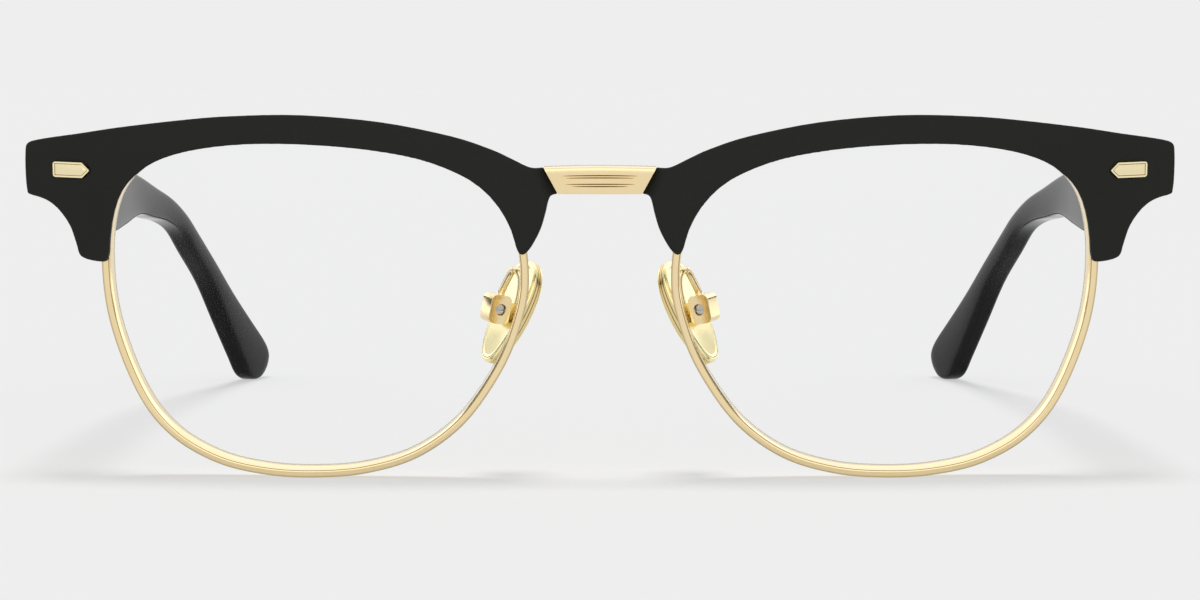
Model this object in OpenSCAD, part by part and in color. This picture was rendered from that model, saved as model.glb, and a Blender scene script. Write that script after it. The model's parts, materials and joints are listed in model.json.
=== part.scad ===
// Browline eyeglass frame: black acetate brows and temples on a gold wire front.
// Everything is drawn for the wearer's left side, standing on +X, and mirrored for the right side.
// X runs across the face, Y back along the temples, Z up the front. The whole frame is then tipped
// forward so that it stands on the bottoms of its rims and on the tips of its temples.

/* [Front] */
// Overall width across the endpieces
frame_w = 142; // [132:1:152]
// Lens width, measured in the groove
lens_w = 52; // [48:0.5:56]
// Lens height, measured in the groove
lens_h = 41.8; // [36:0.2:46]
// Distance between the two lenses
dbl = 18; // [16:0.5:21]
// Radius of the curve that lenses and front follow
lens_curve_r = 132; // [100:1:200]
// Turn of each lens towards the temple, in degrees
face_form = 4; // [2:0.5:7]

/* [Rims] */
// Width of a rim seen from the front
rim_face = 1.06; // [0.8:0.02:1.5]
// Depth of a rim from front to back
rim_depth = 2.8; // [2.4:0.1:3.4]
// Depth of the groove that holds the lens
groove_depth = 0.5; // [0.3:0.05:0.6]
// Width of the groove that holds the lens
groove_w = 1; // [0.8:0.1:1.2]
// Thickness of the front lip ahead of the groove
lip_t = 0.9; // [0.7:0.05:1]

/* [Lenses] */
// Thickness of a lens
lens_t = 1.8; // [1.5:0.1:2]
// Depth of a lens behind the front of its rim
lens_set_back = 0.45; // [0.3:0.05:0.6]

/* [Brows] */
// Height of the brow's highest point above the middle of the lens
brow_rise = 23.8; // [22.8:0.1:26]
// How far the brow stands in front of the rim
brow_proud = 1.3; // [1:0.1:2]
// How far the brow reaches behind the front of the rim
brow_back = 2.5; // [2:0.1:3]
// Depth of the joint between endpiece and temple behind the middle of the lens
butt_depth = 11.6; // [10.8:0.1:12.6]
// Inner edge of the thick endpiece, measured in from the outer edge
endpiece_w = 11.8; // [11:0.1:13]
// Height of the plaque, the hinge and the temple's front end above the middle of the lens
hinge_rise = 16.2; // [15.8:0.1:16.6]

/* [Bridge] */
// Height of the bridge bar
bridge_h = 3.4; // [2.8:0.1:3.6]
// Depth of the bridge bar from front to back
bridge_t = 2.4; // [2.2:0.1:2.6]
// Radius of the bow of the bridge, seen from above
bridge_r = 60; // [45:1:90]
// Height of the middle of the bridge above the middle of the lens
bridge_rise = 15.8; // [15.6:0.05:16.1]
// How far the bridge's front stands ahead of the rims
bridge_proud = 0.25; // [0:0.05:0.5]
// Width of each engraved line
engraving_w = 0.12; // [0.08:0.01:0.16]
// Depth of each engraved line
engraving_depth = 0.12; // [0.06:0.01:0.2]

/* [Nose pads] */
// Length of a nose pad
pad_l = 13.7; // [12:0.1:15]
// Width of a nose pad
pad_w = 7.5; // [6.6:0.1:8.4]
// Thickness of a nose pad
pad_t = 2; // [1.8:0.1:2.4]
// Lean of a pad, its top towards the other one, in degrees
pad_lean = 27; // [19:1:28]
// Turn of a pad so that it faces the nose, in degrees
pad_splay = 27; // [22:1:32]
// Distance of a pad's middle from the middle of the frame
pad_out = 10.9; // [10.5:0.1:11.3]
// Depth of a pad's middle behind the middle of the lens
pad_set_back = 8.8; // [8.4:0.1:9]
// Distance of a pad's middle below the middle of the lens
pad_drop = 2; // [1.6:0.1:2.4]
// Diameter of the wire of a pad arm
arm_d = 0.9; // [0.8:0.05:1.1]

/* [Temples] */
// Reach of a temple from the joint to its tip
temple_reach = 131; // [122:1:136]
// Fall of a temple from its top at the joint to the lowest point of its tip
temple_fall = 55.2; // [52:0.2:58]
// Thickness of a temple at the joint
temple_t = 3.8; // [3.4:0.1:4.2]
// Thickness of a temple at its tip
temple_tip_t = 2.8; // [2.6:0.1:3.6]
// Depth behind the joint at which the temple starts to curve in
ear_curve_start = 48; // [40:1:60]
// Radius of the inward curve of the temple, seen from above
ear_curve_r = 316; // [290:2:400]
// Width of the core wire in a temple
core_w = 1.8; // [1.4:0.1:2.2]
// Thickness of the core wire in a temple
core_t = 0.9; // [0.7:0.1:1.2]

/* [Hinges] */
// Radius of a hinge barrel
barrel_r = 1.3; // [1.2:0.05:1.4]
// Height of one of the five barrels
barrel_h = 1.1; // [1:0.02:1.14]
// Radius of the hinge screw
hinge_screw_r = 0.6; // [0.5:0.05:0.7]
// Thickness of the hinge leaves
leaf_t = 0.8; // [0.6:0.05:0.9]
// Length of the leaf on the temple
leaf_l = 8; // [7:0.1:8.6]

/* [Fits] */
// Clearance between pieces that are brazed, pressed or seated
seat_gap = 0.04; // [0.03:0.01:0.06]
// Clearance all round a piece that turns on a screw
running_gap = 0.05; // [0.03:0.01:0.08]
// Gap between the endpiece and the temple
joint_gap = 0.08; // [0.05:0.01:0.15]

/* [Hidden] */

// Outline of the lens opening as shares of half its width and half its height, clockwise from the temple side
lens_shares = [
    [0.997, 0.314], [0.966, -0.093], [0.842, -0.521], [0.690, -0.771], [0.477, -0.925],
    [0.240, -0.990], [0.001, -1.000], [-0.236, -0.970], [-0.472, -0.875], [-0.677, -0.688],
    [-0.834, -0.424], [-0.935, -0.160], [-0.991, 0.150], [-0.953, 0.485], [-0.808, 0.740],
    [-0.569, 0.892], [-0.275, 0.968], [0.078, 1.000], [0.398, 0.988], [0.667, 0.926],
    [0.839, 0.819], [0.953, 0.637]
];
// Nasal edge of the brow as shares of half the frame's width and of the brow's rise, from its tip up
nasal_edge_shares = [
    [0.145, 0.335], [0.140, 0.300], [0.134, 0.287], [0.127, 0.296], [0.117, 0.334], [0.103, 0.413],
    [0.0944, 0.495], [0.0894, 0.558], [0.0845, 0.588], [0.0732, 0.596]
];
// Top, outer and lower edges of the brow in the same shares, from the bridge round to the foot
outer_edge_shares = [
    [0.0968, 0.733], [0.120, 0.733], [0.154, 0.7815], [0.188, 0.8286], [0.256, 0.896], [0.376, 0.967],
    [0.513, 1.000], [0.634, 0.990], [0.721, 0.965], [0.828, 0.921], [0.900, 0.883], [0.9535, 0.856],
    [0.984, 0.837], [0.9965, 0.819], [1.000, 0.786], [1.000, 0.685], [0.997, 0.576], [0.990, 0.557],
    [0.973, 0.545], [0.955, 0.523], [0.937, 0.479], [0.919, 0.404], [0.908, 0.312], [0.903, 0.261],
    [0.893, 0.240], [0.875, 0.229], [0.858, 0.228], [0.852, 0.244], [0.849, 0.277], [0.842, 0.320]
];
// Top and bottom edges of the temple as shares of its reach and of its fall, at stations along it
temple_top_shares = [
    [0, 0.009], [0.056, 0.033], [0.140, 0.072], [0.255, 0.129], [0.362, 0.185],
    [0.469, 0.243], [0.553, 0.298], [0.629, 0.352], [0.690, 0.414], [0.740, 0.484],
    [0.809, 0.592], [0.880, 0.714], [0.943, 0.821], [0.980, 0.886]
];
temple_bottom_shares = [
    [0, 0.143], [0.051, 0.168], [0.128, 0.226], [0.247, 0.308], [0.354, 0.330],
    [0.461, 0.341], [0.543, 0.377], [0.615, 0.413], [0.675, 0.462], [0.727, 0.542],
    [0.794, 0.655], [0.8535, 0.7935], [0.902, 0.911], [0.928, 0.974]
];
temple_tip_shares = [
    [0.995, 0.922], [1.000, 0.951], [0.993, 0.980], [0.9765, 0.998], [0.955, 1.000]
];

// Fineness of the drawn curves, and how far a cut runs past what it cuts
curve_steps = 4;
round_fn = 32;
ball_fn = 180;
overrun = 3;

// Lens opening
lens_centre = (dbl + lens_w) / 2;
half_open_w = lens_w / 2 - groove_depth;
half_open_h = lens_h / 2 - groove_depth;
curve_cx = lens_centre - lens_curve_r * sin(face_form);
curve_cy = lens_curve_r * cos(face_form);
lens_bevel_t = groove_w - 2 * seat_gap;
open_pts = smooth_loop([for (s = lens_shares) [lens_centre + s[0] * half_open_w, s[1] * half_open_h]]);
rim_outer_pts = grown(open_pts, rim_face);

// Top of the temple at the joint, and its turn inwards from there in degrees
temple_top_above = 3.7;
temple_top = hinge_rise + temple_top_above;
toe_in = 0.46;

// Brow, whose edges run downwards towards the back
brow_slope = 8;
brow_edge_pts = concat(
    smooth_run([for (s = nasal_edge_shares) brow_place(s)]),
    smooth_run([for (s = outer_edge_shares) brow_place(s)])
);
brow_pts = [
    for (p = brow_edge_pts)
        [p[0], p[1] * cos(brow_slope) + front_at(p[0], p[1], brow_proud) * sin(brow_slope)]
];
endpiece_in = frame_w / 2 - endpiece_w;
endpiece_slope_w = 2.6;
endpiece_floor_angle = 45;
endpiece_floor = temple_top - temple_bottom_shares[0][1] * temple_fall;
brow_cover = 0.15;
side_run_in = 1.4;
side_run_in_l = 3.6;
lug_facet_w = 1.15;
lug_facet_drop = 1;
lug_bottom = brow_place(nasal_edge_shares[len(nasal_edge_shares) - 1]);
lug_top = brow_place(outer_edge_shares[0]);
lug_front = front_at(lug_bottom[0], lug_bottom[1], brow_proud);
lug_angle = atan2(lug_top[0] - lug_bottom[0], lug_top[1] - lug_bottom[1]);

// Closing block and its screw
block_out = 2.1;
block_depth = 2.2;
block_half_h = 2;
block_slit = 0.12;
block_mid = 8.4;
block_set_back = 0.3;
rim_screw_r = 0.55;
rim_screw_head_r = 0.85;
rim_screw_head_h = 0.5;
rim_edge = lens_centre + half_open_w + rim_face;
block_back = front_at(rim_edge, block_mid, -rim_depth - block_set_back);
rim_screw_u = rim_edge + block_out / 2;

// Bridge
bridge_front = front_at(dbl / 2 + rim_face, bridge_rise, bridge_proud) - bow(dbl / 2 + rim_face);
bridge_half_angle = asin(0.8 * dbl / bridge_r);
bridge_round = 0.5;
tongue_t = 0.8;
tongue_h = 1.9;
bead_rise = 0.53;
bead_h = 0.3;
engraving_half_angle = asin(0.26 * dbl / bridge_r);
brow_screw_r = 0.45;
brow_screw_head_r = 0.8;
brow_screw_head_h = 0.45;
brow_screw_l = 2.2;
brow_screw_out = 0.35;
brow_screw_u = dbl / 2 + brow_screw_out;
brow_screw_w = bridge_front + bow(brow_screw_u) + bridge_t;
driver_slot_w = 0.22;
driver_slot_depth = 0.2;

// Plaque
plaque_l = 4.9;
plaque_h = 1.9;
plaque_point = 1;
plaque_round = 0.28;
plaque_t = 0.75;
plaque_proud = 0.35;
plaque_bevel = 0.3;
plaque_in = 6.1;
plaque_above = 0.35;
plaque_mid = frame_w / 2 - plaque_in;
plaque_turn = asin((plaque_mid - curve_cx) / (lens_curve_r + brow_proud));
plaque_rise = hinge_rise + plaque_above;
plaque_w = front_at(plaque_mid, plaque_rise, brow_proud);
plaque_pitch = 2.2;
pin_r = 0.4;
pin_l = 1.8;

// Hinge, its axis parallel to the front's own upright
hinge_clear = 0.3;
temple_in = frame_w / 2 - side_run_in - temple_t;
axis_u = temple_in - barrel_r - hinge_clear;
axis_w = butt_depth + barrel_r + hinge_clear;
barrel_gap = 0.06;
barrel_pitch = barrel_h + barrel_gap;
stack_h = 5 * barrel_h + 4 * barrel_gap;
stack_bottom = hinge_rise - stack_h / 2;
front_leaf_l = 4.4;
front_leaf_in = axis_u - front_leaf_l;
hinge_head_step = 0.3;
hinge_head_r = barrel_r - hinge_head_step;
hinge_head_h = 0.5;
anchor_in = 0.8;
anchor_depth = 2;
anchor_w = 1.6;
anchor_h = 3.4;
leaf_slope = 12;
leaf_out = temple_in - leaf_l * tan(toe_in) - 2 * seat_gap;
leaf_side_pts = [
    [axis_w, stack_bottom + barrel_pitch],
    [axis_w, stack_bottom + stack_h - barrel_pitch],
    [axis_w + 0.3 * leaf_l, stack_bottom + stack_h - barrel_pitch],
    [axis_w + leaf_l, stack_bottom + stack_h - barrel_pitch - 0.7 * leaf_l * tan(leaf_slope)],
    [axis_w + leaf_l, stack_bottom + barrel_pitch - leaf_l * tan(leaf_slope)]
];
rivet_places = [
    for (l = [0.42, 0.8] * leaf_l)
        [axis_w + l, hinge_rise - l * tan(leaf_slope)]
];
rivet_r = 0.5;
rivet_head_r = 0.85;
rivet_head_h = 0.25;
rivet_l = 2.2;

// Temple
core_start_behind_leaf = 4;
core_start = butt_depth + leaf_l + core_start_behind_leaf;
core_end_station = 11;
temple_top_pts = [for (s = temple_top_shares) side_place(s)];
temple_bottom_pts = [for (s = temple_bottom_shares) side_place(s)];
temple_tip_pts = [for (s = temple_tip_shares) side_place(s)];
temple_side_pts = smooth_run(concat(
    temple_top_pts,
    temple_tip_pts,
    [for (i = [len(temple_bottom_pts) - 1 : -1 : 0]) temple_bottom_pts[i]]
));
core_mid_pts = smooth_run([
    for (i = [0 : core_end_station]) (temple_top_pts[i] + temple_bottom_pts[i]) / 2
]);
plan_steps = 32;
temple_end = butt_depth + temple_reach;

// Nose pad, its box and its arm
box_lean = 12;
box_l = 2.8;
box_h = 3.6;
box_front = 2.1;
box_back = 0.95;
box_clear = 0.42;
box_in = pad_t / 2 + box_clear;
box_chamfer = 0.8;
box_in_chamfer = 0.45;
ear_slot = 1.1;
ear_slot_l = 2.45;
ear_slot_h = 2.5;
ear_slot_cut = 0.35;
ear_slot_mid = 0.55;
tab_t = 0.9;
tab_r = 0.95;
pad_screw_r = 0.4;
pad_screw_head_r = 0.62;
pad_screw_head_h = 0.35;
pad_screw_sunk = 0.45;
pad_screw_in = 1.3;
pad_screw_x = box_in + pad_screw_in;
pad_screw_z = 0.4;
pad_dome_r = 30;
pad_plate_t = 0.4;
pad_plate_l = 7;
pad_plate_w = 4;
pad_fn = 48;
pad_round_share = 0.83;
pad_top_wider_share = 0.2;
arm_sides = 12;
arm_leg_start = 11.4 * curve_steps;
arm_leg_end = 12 * curve_steps;
arm_leg_pts = [
    for (i = [arm_leg_start : arm_leg_end])
        let (p = open_pts[round(i)])
        [p[0], front_at(p[0], p[1], -rim_depth) + seat_gap + arm_d / 2, p[1]]
];
arm_leg_top = arm_leg_pts[len(arm_leg_pts) - 1];
arm_end = in_pad_frame([
    box_in + (box_in_chamfer + box_l - box_chamfer) / 2,
    -box_front / 2,
    pad_screw_z + box_h / 2 + seat_gap
]);
arm_bend_shares = [[0.4, 0.5, 1], [1.15, 1.5, 1]];
arm_drop_shares = [[-0.8, -0.7, 1.9], [-0.25, -0.1, 0.7]];
arm_pts = smooth_run(concat(
    arm_leg_pts,
    [for (s = arm_bend_shares) arm_leg_top + arm_d * s],
    [for (s = arm_drop_shares) arm_end + arm_d * s],
    [arm_end]
));

// Stance: the tilt that brings rim bottoms and temple tips onto one level
rim_low = [front_at(lens_centre, -half_open_h - rim_face, 0), -half_open_h - rim_face];
first_tilt = tilt_between(rim_low, lowest(temple_side_pts, 0));
stand_tilt = tilt_between(rim_low, lowest(temple_side_pts, first_tilt));
stand_lift = -min(height_of(rim_low, stand_tilt), height_of(lowest(temple_side_pts, stand_tilt), stand_tilt));
brow_front = min([for (p = brow_edge_pts) depth_of([front_at(p[0], p[1], brow_proud), p[1]], stand_tilt)]);
temple_back = max([for (p = temple_side_pts) depth_of(p, stand_tilt)]);
stand_shift = -(brow_front + temple_back) / 2;

// Depth of the front's curve at a place, moved forward by a distance
function front_at(u, v, forward) =
    curve_cy - sqrt(pow(lens_curve_r + forward, 2) - pow(u - curve_cx, 2) - v * v);
// Depth that the bridge's bow adds at a distance from the middle
function bow(u) = bridge_r - sqrt(bridge_r * bridge_r - u * u);
function brow_place(s) = [s[0] * frame_w / 2, s[1] * brow_rise];
function side_place(s) = [butt_depth + joint_gap + s[0] * temple_reach, temple_top - s[1] * temple_fall];
// Inner face of the temple at a depth behind the middle of the lens
function temple_inner(w) =
    temple_in
    - max(w - butt_depth, 0) * tan(toe_in)
    - pow(max(w - butt_depth - ear_curve_start, 0), 2) / (2 * ear_curve_r);
function temple_thick(w) = temple_t + (temple_tip_t - temple_t) * max(w - butt_depth, 0) / temple_reach;
function height_of(p, tilt) = p[0] * sin(tilt) + p[1] * cos(tilt);
function depth_of(p, tilt) = p[0] * cos(tilt) - p[1] * sin(tilt);
function tilt_between(a, b) = atan((a[1] - b[1]) / (b[0] - a[0]));
function lowest(pts, tilt) =
    let (low = min([for (p = pts) height_of(p, tilt)]))
    [for (p = pts) if (height_of(p, tilt) <= low) p][0];
// A place given in the box's turned frame, moved into the front's frame
function in_pad_frame(p) =
    let (x = p[0] * cos(box_lean) - p[2] * sin(box_lean))
    [
        pad_out + x * cos(pad_splay) + p[1] * sin(pad_splay),
        pad_set_back - x * sin(pad_splay) + p[1] * cos(pad_splay),
        -pad_drop + p[0] * sin(box_lean) + p[2] * cos(box_lean)
    ];

// One step of a smooth curve through b and c, where a and d are their neighbours
function between(a, b, c, d, t) =
    (2 * b + (c - a) * t + (2 * a - 5 * b + 4 * c - d) * t * t + (3 * b - a - 3 * c + d) * t * t * t) / 2;
// Smooth closed curve through points
function smooth_loop(p) =
    let (n = len(p))
    [
        for (i = [0 : n - 1], k = [0 : curve_steps - 1])
            between(p[(i + n - 1) % n], p[i], p[(i + 1) % n], p[(i + 2) % n], k / curve_steps)
    ];
// Smooth open curve through points
function smooth_run(p) =
    let (n = len(p))
    concat(
        [
            for (i = [0 : n - 2], k = [0 : curve_steps - 1])
                between(p[max(i - 1, 0)], p[i], p[i + 1], p[min(i + 2, n - 1)], k / curve_steps)
        ],
        [p[n - 1]]
    );
function unit(v) = v / norm(v);
function left_of(t) = [-t[1], t[0]];
// A clockwise closed curve moved outwards by a distance
function grown(p, by) =
    let (n = len(p))
    [for (i = [0 : n - 1]) p[i] + by * left_of(unit(p[(i + 1) % n] - p[(i + n - 1) % n]))];
// Both edges of a band of a given half width along an open curve
function band(p, half) =
    let (n = len(p))
    let (off = [for (i = [0 : n - 1]) half * left_of(unit(p[min(i + 1, n - 1)] - p[max(i - 1, 0)]))])
    concat([for (i = [0 : n - 1]) p[i] + off[i]], [for (i = [n - 1 : -1 : 0]) p[i] - off[i]]);
// Plan of the temple or of its core, between two places given as shares of its thickness
function plan_pts(start, end, from, to) =
    let (ws = [for (i = [0 : plan_steps]) start + (end - start) * i / plan_steps])
    concat(
        [for (w = ws) [temple_inner(w) + from * temple_thick(w), w]],
        [for (i = [plan_steps : -1 : 0]) [temple_inner(ws[i]) + to * temple_thick(ws[i]), ws[i]]]
    );
// Oval of a pad or of its plate, standing up, as points along its edge
function oval_pts(w, l) = [
    for (i = [0 : pad_fn - 1])
        let (c = cos(i * 360 / pad_fn), s = sin(i * 360 / pad_fn))
        let (across = sign(c) * pow(abs(c), pad_round_share), along = sign(s) * pow(abs(s), pad_round_share))
        [across * (1 + pad_top_wider_share * along) * w / 2, along * l / 2]
];

// Turns a drawing in the front's frame into the standing frame
module stand() translate([0, stand_shift, stand_lift]) rotate([stand_tilt, 0, 0]) children();
module left() stand() children();
module right() stand() mirror([1, 0, 0]) children();

// An outline seen from the front, pushed back from one depth to another
module front_prism(pts, from, to)
    translate([0, to, 0]) rotate([90, 0, 0]) linear_extrude(to - from) polygon(pts);
// An outline seen from the side, pushed across from one place to another
module side_prism(pts, from, to)
    translate([from, 0, 0]) rotate([90, 0, 90]) linear_extrude(to - from) polygon(pts);
// Everything behind the front's curve
module behind(forward)
    translate([curve_cx, curve_cy, 0]) sphere(r = lens_curve_r + forward, $fn = ball_fn);
module rod(r, l) cylinder(r = r, h = l, $fn = round_fn);
module forward_rod(r, l) rotate([90, 0, 0]) rod(r, l);
module backward_rod(r, l) rotate([-90, 0, 0]) rod(r, l);
module outward_rod(r, l) rotate([0, 90, 0]) rod(r, l);
// A straight slot across the head of a screw
module driver_slot(r)
    translate([-r, -driver_slot_w / 2, -driver_slot_depth]) cube([2 * r, driver_slot_w, overrun]);

// Wire ring that holds the lens, slit behind the brow's foot
module rim() color("gold") difference() {
    intersection() {
        front_prism(rim_outer_pts, -overrun, butt_depth);
        behind(0);
    }
    behind(-rim_depth);
    front_prism(open_pts, -2 * overrun, butt_depth + overrun);
    intersection() {
        front_prism(grown(open_pts, groove_depth), -overrun, butt_depth);
        difference() {
            behind(-lip_t);
            behind(-lip_t - groove_w);
        }
    }
    translate([rim_edge - 2 * rim_face, -overrun, block_mid - block_slit / 2])
        cube([2 * rim_face + overrun, butt_depth + overrun, block_slit]);
}

// Clear demonstration lens with a bevel that sits in the groove
module lens() color("lightblue", 0.3) {
    intersection() {
        front_prism(grown(open_pts, -seat_gap), -overrun, butt_depth);
        difference() {
            behind(-lens_set_back);
            behind(-lens_set_back - lens_t);
        }
    }
    intersection() {
        front_prism(grown(open_pts, groove_depth - seat_gap), -overrun, butt_depth);
        difference() {
            behind(-lip_t - seat_gap);
            behind(-lip_t - seat_gap - lens_bevel_t);
        }
    }
}

// Two brazed halves that the rim screw pulls together round the lens
module closing_block() color("goldenrod") difference() {
    translate([rim_edge - rim_face, block_back - block_depth, block_mid - block_half_h])
        cube([rim_face + block_out, block_depth, 2 * block_half_h]);
    front_prism(grown(rim_outer_pts, seat_gap), -overrun, butt_depth);
    translate([rim_edge - rim_face, -overrun, block_mid - block_slit / 2])
        cube([overrun + block_out, butt_depth + overrun, block_slit]);
    translate([rim_screw_u, block_back - block_depth / 2, block_mid - block_half_h - overrun])
        rod(rim_screw_r + seat_gap, 2 * block_half_h + 2 * overrun);
}

// Screw of the closing block, with its head below
module rim_screw() color("silver")
    translate([rim_screw_u, block_back - block_depth / 2, block_mid - block_half_h]) {
        translate([0, 0, -rim_screw_head_h - seat_gap]) difference() {
            rod(rim_screw_head_r, rim_screw_head_h);
            mirror([0, 0, 1]) driver_slot(rim_screw_head_r);
        }
        translate([0, 0, -2 * seat_gap]) rod(rim_screw_r, 2 * block_half_h + seat_gap);
    }

// Acetate brow: a curved front that thickens into the endpiece, rebated behind for the rim
module brow() color([0.14, 0.14, 0.135]) difference() {
    intersection() {
        rotate([-brow_slope, 0, 0]) front_prism(brow_pts, -2 * overrun, butt_depth + 2 * overrun);
        behind(brow_proud);
    }
    difference() {
        behind(-brow_back);
        endpiece_space();
    }
    translate([0, butt_depth, 0]) cube([frame_w, butt_depth, 2 * brow_rise]);
    outer_side_cut();
    front_prism(grown(open_pts, -brow_cover), -3 * overrun, butt_depth + overrun);
    intersection() {
        union() {
            front_prism(grown(rim_outer_pts, seat_gap), -overrun, butt_depth + overrun);
            closing_block_recess();
        }
        behind(seat_gap);
    }
    bridge_tongue(seat_gap, overrun);
    translate([brow_screw_u, brow_screw_w + overrun, bridge_rise])
        forward_rod(brow_screw_r + seat_gap, brow_screw_l + overrun + seat_gap);
    lug_facet();
    at_plaque() plaque_body(seat_gap);
    hinge_anchor(seat_gap);
}

// The part of the brow that stays thick, up to the joint with the temple
module endpiece_space() intersection() {
    translate([0, 0, -overrun]) linear_extrude(brow_rise + 3 * overrun) polygon([
        [endpiece_in, butt_depth + overrun], [endpiece_in, butt_depth],
        [endpiece_in - endpiece_slope_w, brow_back], [endpiece_in - endpiece_slope_w, -overrun],
        [frame_w, -overrun], [frame_w, butt_depth + overrun]
    ]);
    side_prism([
        [butt_depth + overrun, endpiece_floor + overrun * tan(endpiece_floor_angle)],
        [butt_depth + overrun, 2 * brow_rise],
        [-overrun, 2 * brow_rise],
        [-overrun, endpiece_floor - (butt_depth + overrun) * tan(endpiece_floor_angle)]
    ], 0, frame_w);
}

// What is taken off the outer side so that it runs in to the temple
module outer_side_cut()
    translate([0, 0, -overrun]) linear_extrude(brow_rise + 3 * overrun) polygon([
        [frame_w / 2, butt_depth - side_run_in_l],
        [frame_w / 2 - side_run_in, butt_depth],
        [frame_w / 2 - side_run_in, butt_depth + overrun],
        [frame_w / 2 + overrun, butt_depth + overrun],
        [frame_w / 2 + overrun, butt_depth - side_run_in_l]
    ]);

// Recess behind the brow's foot, open to the back and below
module closing_block_recess()
    translate([rim_edge - 2 * rim_face, 0, block_mid - block_half_h - 2 * overrun]) cube([
        2 * rim_face + block_out + seat_gap,
        butt_depth + overrun,
        2 * block_half_h + 2 * overrun + seat_gap
    ]);

// Slanted facet beside the bridge
module lug_facet()
    translate([lug_bottom[0], lug_front + lug_facet_drop, lug_bottom[1]])
        rotate([0, lug_angle, 0])
            rotate([0, 0, -atan(lug_facet_drop / lug_facet_w)])
                translate([-overrun, -2 * overrun, -overrun])
                    cube([2 * overrun, 2 * overrun, norm(lug_top - lug_bottom) + 2 * overrun]);

// Sweeps a section along the bow of the bridge, X of the section measured from the bow's centre
module along_bow(half_angle)
    translate([0, bridge_front + bridge_r, bridge_rise])
        rotate([0, 0, -90 - half_angle])
            rotate_extrude(angle = 2 * half_angle, $fn = ball_fn) children();

// Flat tongue of the bridge behind a brow, or with some room the slot for it
module bridge_tongue(room, behind_it)
    along_bow(bridge_half_angle)
        translate([bridge_r - bridge_t - behind_it, -tongue_h / 2 - room])
            square([tongue_t + behind_it + room, tongue_h + 2 * room]);

// A rectangle with round corners
module rounded_section(w, h, r) {
    translate([r, 0]) square([w - 2 * r, h]);
    translate([0, r]) square([w, h - 2 * r]);
    for (x = [r, w - r], y = [r, h - r]) translate([x, y]) circle(r = r, $fn = round_fn);
}

// One engraved line across the front of the bridge
module engraved_line(rise)
    along_bow(engraving_half_angle)
        translate([bridge_r - engraving_depth, rise - engraving_w / 2])
            square([engraving_depth + overrun, engraving_w]);

// Bridge brazed between the rims, with two engraved beads and a tongue behind each brow
module bridge() color("gold") difference() {
    union() {
        intersection() {
            along_bow(bridge_half_angle)
                translate([bridge_r - bridge_t, -bridge_h / 2])
                    rounded_section(bridge_t, bridge_h, bridge_round);
            front_prism([
                [seat_gap - lug_bottom[0], lug_bottom[1]], [seat_gap - lug_top[0], lug_top[1]],
                [lug_top[0] - seat_gap, lug_top[1]], [lug_bottom[0] - seat_gap, lug_bottom[1]]
            ], -overrun, butt_depth);
        }
        bridge_tongue(0, 0);
    }
    for (side = [0, 1]) mirror([side, 0, 0]) {
        front_prism(grown(rim_outer_pts, seat_gap), -overrun, butt_depth);
        translate([brow_screw_u, brow_screw_w + overrun, bridge_rise])
            forward_rod(brow_screw_r + seat_gap, bridge_t + 2 * overrun);
        translate([brow_screw_u, brow_screw_w + overrun, bridge_rise])
            forward_rod(brow_screw_head_r + seat_gap, overrun);
    }
    for (y = [-1, 1], e = [-1, 1]) engraved_line(y * bead_rise + e * bead_h / 2);
}

// Screw from behind the bridge's tongue into the brow
module brow_screw() color("silver") translate([brow_screw_u, brow_screw_w, bridge_rise]) {
    forward_rod(brow_screw_r, brow_screw_l);
    translate([0, brow_screw_head_h + seat_gap, 0]) difference() {
        forward_rod(brow_screw_head_r, brow_screw_head_h);
        rotate([-90, 0, 0]) driver_slot(brow_screw_head_r);
    }
    translate([0, 2 * seat_gap, 0]) forward_rod(brow_screw_r, 3 * seat_gap);
}

// Places a piece on the brow's face, its X along the plaque and its Z forward
module at_plaque()
    translate([plaque_mid, plaque_w, plaque_rise]) rotate([0, 0, plaque_turn]) rotate([90, 0, 0]) children();

// Bar with a pointed end towards the bridge
module plaque_outline(room) {
    l = plaque_l / 2 + room;
    h = plaque_h / 2 + room;
    polygon([
        [-l, 0], [-l + plaque_point, h], [l - plaque_round, h], [l, h - plaque_round],
        [l, -h + plaque_round], [l - plaque_round, -h], [-l + plaque_point, -h]
    ]);
}
module plaque_body(room) {
    translate([0, 0, plaque_proud - plaque_t - room])
        linear_extrude(plaque_t - plaque_bevel + overrun * room) plaque_outline(room);
    for (x = [-1, 1])
        translate([x * plaque_pitch / 2, 0, plaque_proud - plaque_t - pin_l - room])
            rod(pin_r + room, pin_l + pin_r);
}

// Gold arrowhead plaque with two pins pressed into the brow
module plaque() color("gold") at_plaque() {
    plaque_body(0);
    translate([0, 0, plaque_proud - plaque_bevel])
        linear_extrude(plaque_bevel, scale = [1 - 2 * plaque_bevel / plaque_l, 1 - 2 * plaque_bevel / plaque_h])
            plaque_outline(0);
}

// Block of the front leaf that is sunk into the endpiece
module hinge_anchor(room)
    translate([
        front_leaf_in + anchor_in - room,
        butt_depth - anchor_depth - room,
        hinge_rise - anchor_h / 2 - room
    ]) cube([anchor_w + 2 * room, anchor_depth + leaf_t, anchor_h + 2 * room]);

// One barrel of the stack, counted from the bottom
module barrel(i, r, longer)
    translate([axis_u, axis_w, stack_bottom + i * barrel_pitch - longer]) rod(r, barrel_h + 2 * longer);

// Hinge leaf on the endpiece with three barrels
module front_hinge() color("goldenrod") difference() {
    union() {
        translate([front_leaf_in, butt_depth + seat_gap, stack_bottom]) cube([front_leaf_l, leaf_t, stack_h]);
        hinge_anchor(0);
        for (i = [0, 2, 4]) {
            barrel(i, barrel_r, 0);
            translate([axis_u - barrel_r, butt_depth + seat_gap, stack_bottom + i * barrel_pitch])
                cube([barrel_r, axis_w - butt_depth - seat_gap, barrel_h]);
        }
    }
    for (i = [1, 3]) barrel(i, barrel_r + hinge_clear, barrel_gap);
    translate([axis_u, axis_w, stack_bottom - overrun])
        rod(hinge_screw_r + seat_gap / 2, stack_h + 2 * overrun);
}

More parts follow.
